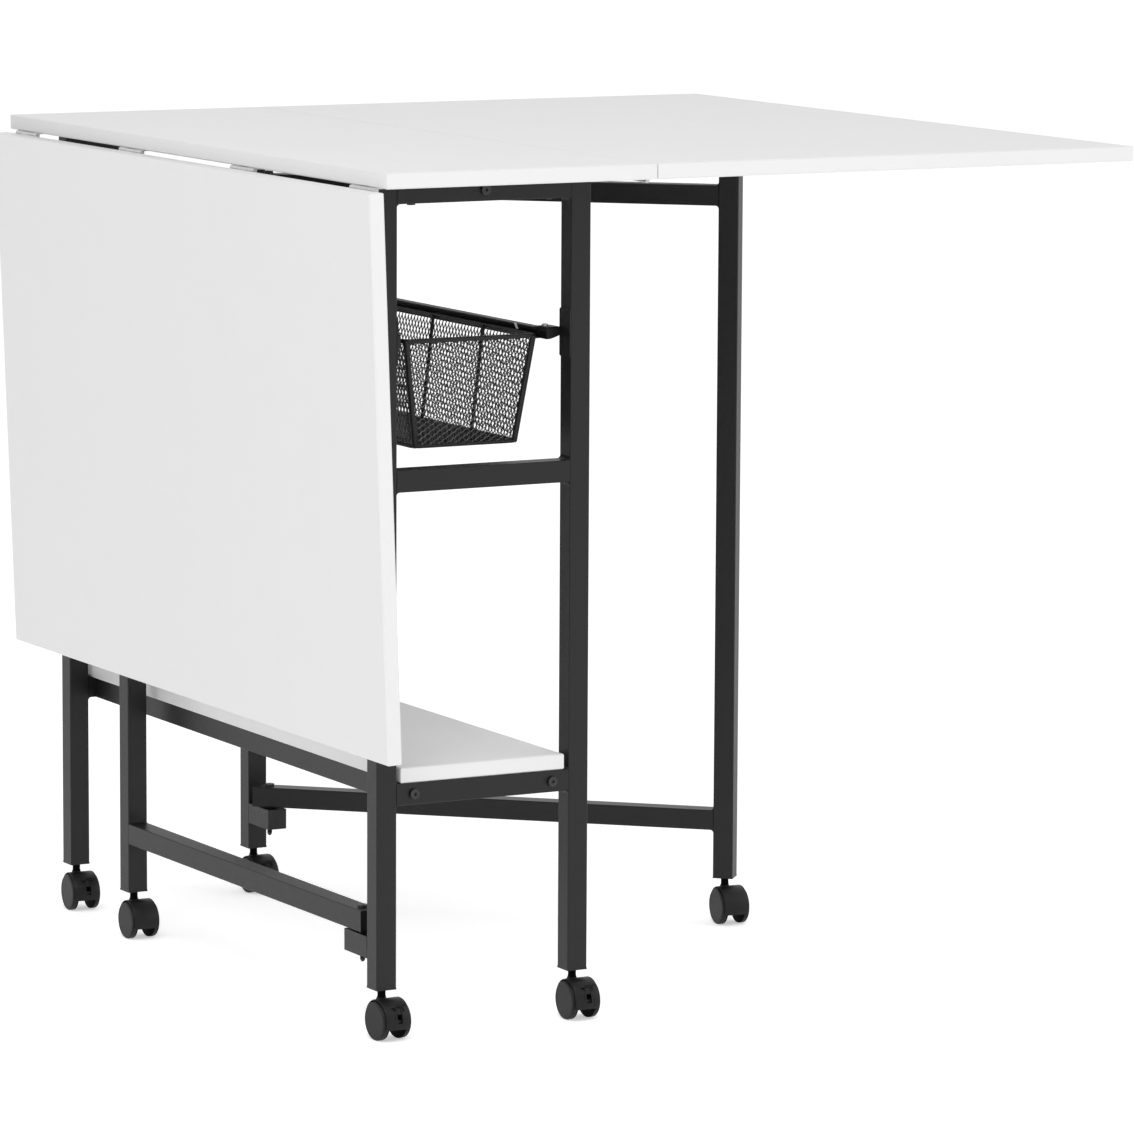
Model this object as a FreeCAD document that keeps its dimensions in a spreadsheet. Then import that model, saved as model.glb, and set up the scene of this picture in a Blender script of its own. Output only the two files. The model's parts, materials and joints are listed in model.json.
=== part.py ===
import FreeCAD, Part
import Sketcher
import math
import os
import re

# Fabric cutting table: a narrow wheeled frame with a fixed centre top, two drop leaves, two gate legs that
# swing out under the leaves, a sliding wire basket and a shelf. The left leaf hangs, the right one is up.
# Table coordinates: X runs across the table from the middle of the centre top, Y from its front edge to the
# back, Z up from the floor. The part's origin lies on the floor under the middle of the whole outline.
# All lengths are millimetres and all angles degrees.

SIZES = [
    ("top_width", 305, "centre top across"),
    ("top_depth", 927, "all three boards, front to back"),
    ("leaf_width", 572, "each leaf across"),
    ("board", 16, "thickness of the tops and the shelf"),
    ("board_round", 0.8, "softened edge of the boards"),
    ("table_height", 889, "floor to work surface"),
    ("seam", 1.5, "gap between centre top and a raised leaf"),
    ("frame_width", 243.5, "outside of the posts across the table"),
    ("frame_front", 82, "front face of the front posts"),
    ("back_setback", 61.5, "back face of the back posts inside the back edge of the top"),
    ("tube", 22.6, "square tube of the frame"),
    ("tube_wall", 1.2, "wall of every tube"),
    ("tube_round", 1.2, "outer corner radius of the frame tube"),
    ("mid_rail_drop", 291, "top face of the middle cross rails below the boards"),
    ("bottom_rail_top", 262, "top face of the lower rails, which carry the shelf"),
    ("side_rail_offset", 79.5, "centre of each lower side rail from the middle"),
    ("rail_end_block", 16, "threaded block in each end of a bolted rail"),
    ("shelf_width", 188, "shelf across, between the posts"),
    ("shelf_setback", 1, "shelf's end behind the outer face of the posts"),
    ("bolt_radius", 3, "shank of the frame and pivot bolts"),
    ("bolt_clearance", 0.3, "radial play of a bolt in a plain tube wall"),
    ("bolt_fit", 0.05, "radial play of a bolt in a thread or pivot"),
    ("bolt_head_radius", 5.2, "socket head of a bolt"),
    ("bolt_head_height", 3, "height of a bolt's head"),
    ("socket_radius", 1.9, "hexagon socket in a bolt head"),
    ("socket_depth", 1.8, "depth of that socket"),
    ("bolt_grip", 14, "bolt length in the end block"),
    ("screw_radius", 2, "wood screw that holds the top"),
    ("screw_head_radius", 4.2, "its head under the rail"),
    ("screw_head_height", 2, "height of that head"),
    ("screw_bite", 10, "screw length inside the top"),
    ("screw_offset", 78, "screws from the middle of the table"),
    ("caster_height", 50, "floor to the foot of a post"),
    ("plug_flange", 2, "rim of a plug under its tube"),
    ("plug_depth", 24, "plug length inside its tube"),
    ("plug_play", 0.2, "gap between a plug and the tube wall"),
    ("gate_tube", 22.6, "square tube of the gate legs"),
    ("gate_round", 1.2, "outer corner radius of the gate tube"),
    ("gate_left_gap", 152.3, "far face of the folded left gate short of the back post"),
    ("gate_right_gap", 165.3, "far face of the folded right gate short of the front post"),
    ("gate_heel", 17, "gate rail past its pivot"),
    ("gate_lower_rail", 104.2, "underside of the lower gate rail"),
    ("gate_upper_drop", 72.6, "underside of the upper gate rail below the boards"),
    ("gate_top_gap", 0.3, "gate's cap under the boards"),
    ("gate_left_angle", 0.95, "left gate swung out from its folded place"),
    ("gate_right_angle", 47.2, "right gate swung out from its folded place"),
    ("stub_length", 51, "hinge stub welded to a post"),
    ("pivot_reach", 31.5, "pivot bolt from the post's face"),
    ("pivot_gap", 1.5, "gap between stub and gate rail, filled by a washer"),
    ("washer_radius", 8, "pivot washer"),
    ("washer_play", 0.1, "play above and below the washer"),
    ("nut_radius", 5.6, "pivot nut across its corners, halved"),
    ("nut_height", 4, "height of the pivot nut, inside the stub"),
    ("bolt_tip", 5, "pointed end of the pivot bolt under the stub"),
    ("bolt_tip_radius", 0.5, "blunt end of that point"),
    ("hinge_length", 56, "butt hinge along the seam"),
    ("hinge_inset", 49, "middle of the end hinges from the board's ends"),
    ("hinge_plate_width", 24, "hinge plate from the pin outwards"),
    ("hinge_plate", 1.2, "thickness of a hinge plate"),
    ("knuckle_radius", 2.4, "rolled knuckle of a hinge"),
    ("knuckle_gap", 0.3, "play between neighbouring knuckles"),
    ("pin_radius", 1.2, "hinge pin"),
    ("pin_fit", 0.05, "radial play of the hinge pin"),
    ("pin_drop", 2.6, "hinge pin below the underside of the boards"),
    ("runner_height", 12.4, "basket runner, a channel open to the inside"),
    ("runner_depth", 10, "channel across"),
    ("runner_sheet", 1.2, "sheet of the runner"),
    ("runner_web", 84.6, "outer face of the channel from the middle"),
    ("runner_play", 0.3, "play under the rim wire in the channel"),
    ("bracket_height", 47, "runner bracket on a post"),
    ("bracket_drop", 12, "foot of that bracket below the runner"),
    ("bracket_sheet", 1.5, "sheet of that bracket"),
    ("basket_rim_drop", 164.6, "middle of the rim wire below the boards"),
    ("basket_front", 111.5, "middle of the front rim wire"),
    ("basket_length", 448, "basket along the runners"),
    ("basket_width", 150.8, "basket across, between rim wire middles"),
    ("basket_depth", 108.8, "rim wire to bottom wire"),
    ("basket_side_taper", 15.7, "side wall leans in"),
    ("basket_end_taper", 11, "end wall leans in"),
    ("rim_wire", 2.5, "radius of the rim wire"),
    ("cage_wire", 1.9, "radius of the other basket wires"),
    ("rim_bend", 9, "corner bend of the rim wire"),
    ("wire_weld", 1.4, "how deep the cross wires are pressed into the rim wire's inner side"),
    ("mesh_sheet", 0.8, "thickness of the expanded metal"),
    ("mesh_gap", 0.3, "expanded metal clear of the corner wires"),
    ("wheel_radius", 20, "caster wheel"),
    ("wheel_width", 7.2, "one wheel of the twin"),
    ("wheel_edge", 2.6, "bevel round the wheel's outer face"),
    ("wheel_gap", 0.3, "play between wheel and hood"),
    ("hood_width", 17.6, "caster hood between the wheels"),
    ("hood_radius", 22, "rounded top of a braked hood"),
    ("plain_hood_radius", 21, "rounded top of a hood with no brake"),
    ("hood_floor", 7, "open lower edge of the hood above the floor"),
    ("hood_neck_radius", 5, "neck round the stem"),
    ("hood_neck_top", 43, "top of the neck above the floor"),
    ("trail", 13, "axle behind the swivel stem"),
    ("axle_radius", 3, "caster axle"),
    ("stem_radius", 3.8, "caster stem"),
    ("stem_length", 20, "stem inside the plug"),
    ("lever_width", 7, "brake lever"),
    ("lever_reach", 2, "brake lever proud of the hood"),
    ("lever_root", 12, "inner radius of the brake lever's slot"),
    ("lever_play", 0.3, "gap round the brake lever"),
    ("lever_angle", 20, "brake lever seen from the side"),
    ("brake_angle", 22, "turn of the brake lever"),
    ("brake_start_angle", -4, "lower end of the brake slot above the level"),
    ("brake_slack_angle", 1, "free angle at each end of the brake slot"),
    ("overrun", 5, "how far a cutting body passes the face that it opens"),
]

# Sizes that follow from the ones above.
DERIVED = {
    "underside": "table_height - board",
    "hinge_line": "top_width / 2 + seam / 2",
    "pin_height": "underside - pin_drop",
    "lean": "atan((pin_drop + board / 2) / (seam / 2 + leaf_width / 2)) / 1 deg",
    "outline_right": "top_width / 2 + seam + leaf_width",
    "outline_left": "hinge_line - seam / 2 * sin(lean) + (pin_drop + board) * cos(lean)",
    "frame_back": "top_depth - back_setback",
    "mid_rail_top": "underside - mid_rail_drop",
    "gate_upper_rail": "underside - gate_upper_drop",
    "basket_rim_height": "underside - basket_rim_drop",
    "origin_x": "(outline_right - outline_left) / 2",
    "origin_y": "top_depth / 2",
    "post_middle": "frame_width / 2 - tube / 2",
    "post_inside": "frame_width / 2 - tube",
    "front_row": "frame_front + tube / 2",
    "back_row": "frame_back - tube / 2",
    "span": "frame_back - frame_front - 2 * tube",
    "gate_left_length": "span - pivot_reach - gate_left_gap",
    "gate_right_length": "span - pivot_reach - gate_right_gap",
    "post_foot": "caster_height + plug_flange",
    "shelf_top": "bottom_rail_top + board",
    "gate_cap": "underside - gate_top_gap",
    "gate_left_post": "gate_left_length - gate_tube / 2",
    "gate_right_post": "gate_right_length - gate_tube / 2",
    "pivot_left_y": "frame_front + tube + pivot_reach",
    "pivot_right_y": "frame_back - tube - pivot_reach",
    "rim_x": "basket_width / 2",
    "floor_x": "basket_width / 2 - basket_side_taper",
    "basket_back": "basket_front + basket_length",
    "basket_floor": "basket_rim_height - basket_depth",
    "runner_bottom": "basket_rim_height - rim_wire - runner_play - runner_sheet",
    "caster_width": "hood_width + 2 * wheel_gap + 2 * wheel_width",
}

SIDES = {"left": -1, "right": 1}
HINGES = 4
BASKET_BAYS = 4
X_AXIS = FreeCAD.Vector(1, 0, 0)
Y_AXIS = FreeCAD.Vector(0, 1, 0)
Z_AXIS = FreeCAD.Vector(0, 0, 1)
# Casters stand with their wheels a little turned, as they were left.
CASTER_TURNS = {"front_left": 4, "front_right": 0, "back_left": -3, "back_right": 2, "gate_left": 0,
                "gate_right": -6}

doc = FreeCAD.newDocument("FabricCuttingTable")
sheet = doc.addObject("Spreadsheet::Sheet", "Sizes")
for row, (alias, number, note) in enumerate(SIZES, start=1):
    sheet.set(f"A{row}", note)
    sheet.set(f"B{row}", str(number))
    sheet.setAlias(f"B{row}", alias)
doc.recompute()
ALIASES = {alias for alias, number, note in SIZES}
nodes = []


def ex(text):
    """Write a formula of size names as a FreeCAD expression."""
    def word(match):
        name = match.group(0)
        if name in DERIVED:
            return "(" + ex(DERIVED[name]) + ")"
        return "Sizes." + name if name in ALIASES else name
    return re.sub(r"[a-z][a-z_]+", word, str(text))


def value(text):
    """Work out a formula of size names."""
    result = sheet.evalExpression(ex(text))
    return float(getattr(result, "Value", result))


def vector(x, y, z):
    return FreeCAD.Vector(value(x), value(y), value(z))


def at(x, y, z, axis=Z_AXIS, angle=0):
    """A placement from formulas, turned about one axis."""
    return FreeCAD.Placement(vector(x, y, z), FreeCAD.Rotation(axis, value(angle)))


def bind(thing, **formulas):
    for name, formula in formulas.items():
        thing.setExpression(name, ex(formula))
    return thing


TABLE = at("-origin_x", "-origin_y", 0)
GATES = {
    "left": TABLE * at("-post_middle", "pivot_left_y", 0, Z_AXIS, "90 + gate_left_angle"),
    "right": TABLE * at("post_middle", "pivot_right_y", 0, Z_AXIS, "gate_right_angle - 90"),
}
LEAVES = {
    "left": TABLE * at("-hinge_line", 0, "pin_height", Y_AXIS, "-90 - lean"),
    "right": TABLE * at("hinge_line", 0, "pin_height"),
}


def node(thing, label, frame=TABLE):
    """Name a finished sub-part and put it into its own frame."""
    thing.Placement = frame * thing.Placement
    thing.Label = label
    nodes.append(thing)
    return thing


def box(length, width, height, place):
    thing = doc.addObject("Part::Box", "Block")
    bind(thing, Length=length, Width=width, Height=height)
    thing.Placement = place
    return thing


def cylinder(radius, height, place, angle=None):
    thing = doc.addObject("Part::Cylinder", "Round")
    bind(thing, Radius=radius, Height=height)
    if angle is not None:
        bind(thing, Angle=angle)
    thing.Placement = place
    return thing


def hexagon(radius, height, place):
    thing = doc.addObject("Part::Prism", "Hexagon")
    bind(thing, Circumradius=radius, Height=height)
    thing.Placement = place
    return thing


def cone(radius, tip_radius, height, place):
    thing = doc.addObject("Part::Cone", "Cone")
    bind(thing, Radius1=radius, Radius2=tip_radius, Height=height)
    thing.Placement = place
    return thing


def along_x(x, y, z):
    """Where a cylinder along +X starts."""
    return at(x, y, z, Y_AXIS, 90)


def along_y(x, y, z):
    """Where a cylinder along +Y starts."""
    return at(x, y, z, X_AXIS, -90)


def fuse(parts):
    thing = doc.addObject("Part::MultiFuse", "Joined")
    thing.Shapes = parts
    return thing


def cut(base, tools):
    thing = doc.addObject("Part::Cut", "Opened")
    thing.Base = base
    thing.Tool = tools[0] if len(tools) == 1 else group(tools)
    return thing


def group(parts):
    thing = doc.addObject("Part::Compound", "Group")
    thing.Links = parts
    return thing


def sketch_on(body, role):
    """A sketch on one of a body's own origin planes."""
    sketch = body.newObject("Sketcher::SketchObject", "Profile")
    plane = next(f for f in body.Origin.OriginFeatures if f.Role == role)
    sketch.AttachmentSupport = [(plane, "")]
    sketch.MapMode = "FlatFace"
    return sketch


def outline(sketch, points):
    """A closed outline through points given as formulas, each held to the sketch's axes."""
    first = sketch.GeometryCount
    places = [vector(x, y, 0) for x, y in points]
    for i, start in enumerate(places):
        sketch.addGeometry(Part.LineSegment(start, places[(i + 1) % len(places)]), False)
    for i, (x, y) in enumerate(points):
        line = first + i
        last = first + (i - 1) % len(points)
        sketch.addConstraint(Sketcher.Constraint("Coincident", last, 2, line, 1))
        for kind, formula in (("DistanceX", x), ("DistanceY", y)):
            if formula == 0:
                on_axis = -2 if kind == "DistanceX" else -1
                sketch.addConstraint(Sketcher.Constraint("PointOnObject", line, 1, on_axis))
                continue
            number = sketch.addConstraint(Sketcher.Constraint(kind, -1, 1, line, 1, value(formula)))
            sketch.renameConstraint(number, f"{kind}{line}")
            sketch.setExpression(f"Constraints.{kind}{line}", ex(formula))


def square(half):
    return [(f"-({half})", f"-({half})"), (half, f"-({half})"), (half, half), (f"-({half})", half)]


def tube(length, place, size="tube", rounding="tube_round"):
    """A welded square tube along its own Z, with rounded outer corners."""
    body = doc.addObject("PartDesign::Body", "Tube")
    sketch = sketch_on(body, "XY_Plane")
    outline(sketch, square(f"{size} / 2"))
    outline(sketch, square(f"{size} / 2 - tube_wall"))
    pad = body.newObject("PartDesign::Pad", "Length")
    pad.Profile = sketch
    bind(pad, Length=length)
    doc.recompute()
    corner = value(f"{size} / 2") * math.sqrt(2)
    names = []
    for number, edge in enumerate(pad.Shape.Edges, start=1):
        ends = [v.Point for v in edge.Vertexes]
        if all(abs(math.hypot(p.x, p.y) - corner) < Part.Precision.confusion() for p in ends):
            if abs(ends[0].z - ends[1].z) > value("tube_wall"):
                names.append(f"Edge{number}")
    fillet = body.newObject("PartDesign::Fillet", "Corners")
    fillet.Base = (pad, names)
    bind(fillet, Radius=rounding)
    body.Placement = place
    return body


def board(length, width, thickness, place):
    """A laminated board from its lower corner, with softened edges."""
    body = doc.addObject("PartDesign::Body", "Board")
    sketch = sketch_on(body, "XY_Plane")
    outline(sketch, [(0, 0), (length, 0), (length, width), (0, width)])
    pad = body.newObject("PartDesign::Pad", "Thickness")
    pad.Profile = sketch
    bind(pad, Length=thickness)
    doc.recompute()
    chamfer = body.newObject("PartDesign::Chamfer", "Softened")
    chamfer.Base = (pad, [f"Edge{n}" for n in range(1, len(pad.Shape.Edges) + 1)])
    bind(chamfer, Size="board_round")
    body.Placement = place
    return body


def make_boards():
    top = board("top_width", "top_depth", "board", at("-top_width / 2", 0, "underside"))
    pilots = []
    for y in ("front_row", "back_row"):
        for sign in SIDES.values():
            start = at(f"{sign} * screw_offset", y, "underside - overrun")
            pilots.append(cylinder("screw_radius", "screw_bite + overrun", start))
    node(cut(top, pilots), "top_board")
    for side, sign in SIDES.items():
        start = "seam / 2" if sign > 0 else "-seam / 2 - leaf_width"
        leaf = board("leaf_width", "top_depth", "board", at(start, 0, "pin_drop"))
        node(leaf, f"leaf_{side}_board", LEAVES[side])
    shelf_depth = "frame_back - frame_front - 2 * shelf_setback"
    shelf = board("shelf_width", shelf_depth, "board",
                  at("-shelf_width / 2", "frame_front + shelf_setback", "bottom_rail_top"))
    node(shelf, "shelf_board")


def make_frame():
    """Two welded end frames, joined by two lower side rails and a centre beam."""
    rows = {"front": "front_row", "back": "back_row"}
    levels = {"top": "underside - tube / 2", "mid": "mid_rail_top - tube / 2",
              "bottom": "bottom_rail_top - tube / 2"}
    for end, y in rows.items():
        for side, sign in SIDES.items():
            post = tube("underside - post_foot", at(f"{sign} * post_middle", y, "post_foot"))
            node(post, f"post_{end}_{side}")
        for level, z in levels.items():
            rail = tube("2 * post_inside", at("-post_inside", y, z, Y_AXIS, 90))
            holes = []
            hole_radius = "bolt_radius + bolt_clearance"
            if level == "top":
                holes.append(cylinder(hole_radius, "tube + 2 * overrun",
                                      along_y(0, f"{y} - tube / 2 - overrun", z)))
                for sign in SIDES.values():
                    start = at(f"{sign} * screw_offset", y, f"{z} - tube / 2 - overrun")
                    holes.append(cylinder("screw_radius", "tube + 2 * overrun", start))
            if level == "bottom":
                for sign in SIDES.values():
                    start = along_y(f"{sign} * side_rail_offset", f"{y} - tube / 2 - overrun", z)
                    holes.append(cylinder(hole_radius, "tube + 2 * overrun", start))
            node(cut(rail, holes) if holes else rail, f"{level}_rail_{end}")
    long_rails = {"side_rail_left": ("-side_rail_offset", levels["bottom"]),
                  "side_rail_right": ("side_rail_offset", levels["bottom"]),
                  "centre_beam": ("0", levels["top"])}
    for label, (x, z) in long_rails.items():
        node(bolted_rail(x, z), label)


def bolted_rail(x, z):
    """A long rail between the end frames, with a tapped block in each end."""
    rail = tube("span", at(x, "frame_front + tube", z, X_AXIS, -90))
    inside = "tube - 2 * tube_wall"
    ends = ("frame_front + tube", "frame_back - tube - rail_end_block")
    parts = [rail]
    bores = []
    for y in ends:
        parts.append(box(inside, "rail_end_block", inside,
                         at(f"{x} - ({inside}) / 2", y, f"{z} - ({inside}) / 2")))
        bores.append(cylinder("bolt_radius + bolt_fit", "rail_end_block + 2 * overrun",
                              along_y(x, f"{y} - overrun", z)))
    return cut(fuse(parts), bores)


def socket_bolt(length, place):
    """A bolt along its own Z: head below zero, shank above it."""
    head = cylinder("bolt_head_radius", "bolt_head_height", at(0, 0, "-bolt_head_height"))
    shank = cylinder("bolt_radius", length, at(0, 0, 0))
    socket = hexagon("socket_radius", "socket_depth + overrun", at(0, 0, "-bolt_head_height - overrun"))
    thing = cut(fuse([head, shank]), [socket])
    thing.Placement = place
    return thing


def make_fasteners():
    bolts = []
    low = "bottom_rail_top - tube / 2"
    spots = [("-side_rail_offset", low), ("side_rail_offset", low), ("0", "underside - tube / 2")]
    for x, z in spots:
        bolts.append(socket_bolt("tube + bolt_grip", along_y(x, "frame_front", z)))
        bolts.append(socket_bolt("tube + bolt_grip", at(x, "frame_back", z, X_AXIS, 90)))
    node(group(bolts), "frame_bolts")
    screws = []
    for y in ("front_row", "back_row"):
        for sign in SIDES.values():
            x = f"{sign} * screw_offset"
            head = cylinder("screw_head_radius", "screw_head_height",
                            at(x, y, "underside - tube - screw_head_height"))
            shank = cylinder("screw_radius", "tube + screw_bite", at(x, y, "underside - tube"))
            screws.append(fuse([head, shank]))
    node(group(screws), "top_screws")


def foot_plug(x, y, size="tube"):
    """Plastic plug in the foot of a post, bored for the caster's stem."""
    inside = f"{size} - 2 * tube_wall - 2 * plug_play"
    flange = box(size, size, "plug_flange", at(f"{x} - {size} / 2", f"{y} - {size} / 2", "caster_height"))
    spigot = box(inside, inside, "plug_depth",
                 at(f"{x} - ({inside}) / 2", f"{y} - ({inside}) / 2", "post_foot"))
    bore = cylinder("stem_radius + bolt_fit", "plug_flange + plug_depth + 2 * overrun",
                    at(x, y, "caster_height - overrun"))
    return cut(fuse([flange, spigot]), [bore])


def end_plug(size, place):
    """Flat plastic plug that closes a tube; its flange points along -Z."""
    inside = f"{size} - 2 * tube_wall - 2 * plug_play"
    flange = box(size, size, "plug_flange", at(f"-{size} / 2", f"-{size} / 2", "-plug_flange"))
    spigot = box(inside, inside, "plug_depth / 2", at(f"-({inside}) / 2", f"-({inside}) / 2", 0))
    thing = fuse([flange, spigot])
    thing.Placement = place
    return thing


def make_stubs():
    """Short tubes on two of the posts that carry the gate legs' pivot bolts."""
    stubs = {"left": ("-post_middle", "frame_front + tube", "pivot_left_y", 1),
             "right": ("post_middle", "frame_back - tube", "pivot_right_y", -1)}
    pivots = []
    washers = []
    inside = "tube - 2 * tube_wall"
    for side, (x, face, pivot, away) in stubs.items():
        pair = []
        for rail in ("gate_lower_rail", "gate_upper_rail"):
            low = f"{rail} - pivot_gap - tube"
            start = face if away > 0 else f"{face} - stub_length"
            hollow = start if away > 0 else f"{start} + tube_wall"
            shell = box("tube", "stub_length", "tube", at(f"{x} - tube / 2", start, low))
            cavity = box(inside, "stub_length - tube_wall", inside,
                         at(f"{x} - ({inside}) / 2", hollow, f"{low} + tube_wall"))
            hole_radius = "bolt_radius + bolt_clearance"
            hole = cylinder(hole_radius, "tube + 2 * overrun", at(x, pivot, f"{low} - overrun"))
            pair.append(cut(shell, [cavity, hole]))
            reach = "gate_tube + pivot_gap + tube + bolt_fit"
            bolt = socket_bolt(reach, at(x, pivot, f"{rail} + gate_tube + bolt_fit", X_AXIS, 180))
            nut = hexagon("nut_radius", "nut_height", at(x, pivot, f"{low} + tube_wall"))
            point = cone("bolt_radius", "bolt_tip_radius", "bolt_tip", at(x, pivot, low, X_AXIS, 180))
            pivots.append(fuse([bolt, nut, point]))
            ring = cylinder("washer_radius", "pivot_gap - 2 * washer_play",
                            at(x, pivot, f"{rail} - pivot_gap + washer_play"))
            bore = cylinder(hole_radius, "pivot_gap + overrun", at(x, pivot, f"{rail} - pivot_gap"))
            washers.append(cut(ring, [bore]))
        node(group(pair), f"hinge_stubs_{side}")
    node(group(pivots), "pivot_bolts")
    node(group(washers), "pivot_washers")


def make_gates():
    """Gate legs, drawn with the pivot at zero and the rails along +X."""
    for side in SIDES:
        post_place = f"gate_{side}_post"
        for level, low in (("lower", "gate_lower_rail"), ("upper", "gate_upper_rail")):
            rail = tube(f"{post_place} - gate_tube / 2 + gate_heel - plug_flange",
                        at("plug_flange - gate_heel", 0, f"{low} + gate_tube / 2", Y_AXIS, 90),
                        "gate_tube", "gate_round")
            hole = cylinder("bolt_radius + bolt_fit", "gate_tube + 2 * overrun",
                            at(0, 0, f"{low} - overrun"))
            node(cut(rail, [hole]), f"gate_{side}_{level}_rail", GATES[side])
        post = tube("gate_cap - plug_flange - post_foot", at(post_place, 0, "post_foot"),
                    "gate_tube", "gate_round")
        node(post, f"gate_{side}_post", GATES[side])
        plugs = [foot_plug(post_place, "0", "gate_tube"),
                 end_plug("gate_tube", at(post_place, 0, "gate_cap - plug_flange", X_AXIS, 180))]
        for low in ("gate_lower_rail", "gate_upper_rail"):
            heel = at("plug_flange - gate_heel", 0, f"{low} + gate_tube / 2", Y_AXIS, 90)
            plugs.append(end_plug("gate_tube", heel))
        node(group(plugs), f"gate_{side}_plugs", GATES[side])


def hinge_half(sign, middle, knuckles):
    """One half of a butt hinge, drawn round its pin: a plate under the board and rolled knuckles.

    knuckles lists the shares of the hinge's length where this half has its knuckles."""
    edge = "knuckle_radius + knuckle_gap"
    width = f"hinge_plate_width - ({edge})"
    start = edge if sign > 0 else "-hinge_plate_width"
    low = "pin_drop - hinge_plate"
    parts = [box(width, "hinge_length", "hinge_plate", at(start, f"{middle} - hinge_length / 2", low))]
    for first, last in knuckles:
        y = f"{middle} - hinge_length / 2 + {first} * hinge_length + knuckle_gap / 2"
        length = f"({last} - {first}) * hinge_length - knuckle_gap"
        parts.append(cylinder("knuckle_radius", length, along_y(0, y, 0)))
        tab = "0" if sign > 0 else f"-({edge}) - hinge_plate"
        parts.append(box(f"{edge} + hinge_plate", length, "hinge_plate", at(tab, y, low)))
    bore = cylinder("pin_radius + pin_fit", "hinge_length + 2 * overrun",
                    along_y(0, f"{middle} - hinge_length / 2 - overrun", 0))
    return cut(fuse(parts), [bore])


def make_hinges():
    """Four butt hinges under each seam."""
    fixed_shares = [(0, 0.3), (0.7, 1)]
    moving_shares = [(0.3, 0.7)]
    middles = [f"hinge_inset + {i} * (top_depth - 2 * hinge_inset) / ({HINGES} - 1)" for i in range(HINGES)]
    pins = []
    for side, sign in SIDES.items():
        line = TABLE * at(f"{sign} * hinge_line", 0, "pin_height")
        node(group([hinge_half(-sign, y, fixed_shares) for y in middles]), f"hinge_plates_{side}", line)
        moving = group([hinge_half(sign, y, moving_shares) for y in middles])
        node(moving, f"leaf_{side}_hinge_plates", LEAVES[side])
        for y in middles:
            pins.append(cylinder("pin_radius", "hinge_length",
                                 along_y(f"{sign} * hinge_line", f"{y} - hinge_length / 2", "pin_height")))
    node(group(pins), "hinge_pins")


def make_runners():
    """Channels that the basket's rim slides in, each with a bracket on two posts."""
    for side, sign in SIDES.items():
        parts = []
        web = "runner_web - runner_sheet" if sign > 0 else "-runner_web"
        lip = "runner_web - runner_depth" if sign > 0 else "-runner_web"
        parts.append(box("runner_sheet", "frame_back - frame_front", "runner_height",
                         at(web, "frame_front", "runner_bottom")))
        for z in ("runner_bottom", "runner_bottom + runner_height - runner_sheet"):
            parts.append(box("runner_depth", "span", "runner_sheet", at(lip, "frame_front + tube", z)))
        foot = "post_inside - bracket_sheet" if sign > 0 else "-post_inside"
        arm = "runner_web - runner_sheet" if sign > 0 else "-post_inside"
        reach = "post_inside - runner_web + runner_sheet"
        low = "runner_bottom - bracket_drop"
        # The arm is an angle: a sheet on top and a flange at the table's end.
        for y, flange in (("frame_front", "frame_front"), ("frame_back - tube", "frame_back - bracket_sheet")):
            parts.append(box("bracket_sheet", "tube", "bracket_height - tube / 2", at(foot, y, low)))
            crown = along_x(foot, f"{y} + tube / 2", f"{low} + bracket_height - tube / 2")
            parts.append(cylinder("tube / 2", "bracket_sheet", crown))
            parts.append(box(reach, "tube", "bracket_sheet",
                             at(arm, y, "runner_bottom + runner_height - bracket_sheet")))
            parts.append(box(reach, "bracket_sheet", "runner_height", at(arm, flange, "runner_bottom")))
        node(fuse(parts), f"basket_runner_{side}")


def wire_along(points, radius):
    """A round wire through points, each stretch a cylinder and each inner corner a ball."""
    parts = []
    for start, end in zip(points, points[1:]):
        parts.append(Part.makeCylinder(radius, (end - start).Length, start, end - start))
    for middle in points[1:-1]:
        parts.append(Part.makeSphere(radius, middle))
    return parts


def rim_loop(half_x, low_y, high_y, z, bend, radius):
    """A closed wire loop with rounded corners, lying level."""
    corners = [(half_x, low_y), (half_x, high_y), (-half_x, high_y), (-half_x, low_y)]
    edges = []
    last = None
    for i, (x, y) in enumerate(corners):
        before = corners[i - 1]
        after = corners[(i + 1) % len(corners)]
        here = FreeCAD.Vector(x, y, z)
        way_in = (FreeCAD.Vector(before[0], before[1], z) - here).normalize()
        way_out = (FreeCAD.Vector(after[0], after[1], z) - here).normalize()
        middle = here + (way_in + way_out) * bend * (1 - math.sqrt(0.5))
        start = here + way_in * bend
        end = here + way_out * bend
        if last is None:
            first = start
        else:
            edges.append(Part.LineSegment(last, start).toShape())
        edges.append(Part.Arc(start, middle, end).toShape())
        last = end
    edges.append(Part.LineSegment(last, first).toShape())
    path = Part.Wire(edges)
    tangent = path.Edges[0].tangentAt(path.Edges[0].FirstParameter)
    profile = Part.Wire([Part.makeCircle(radius, first, tangent)])
    return path.makePipeShell([profile], True, False)


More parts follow.
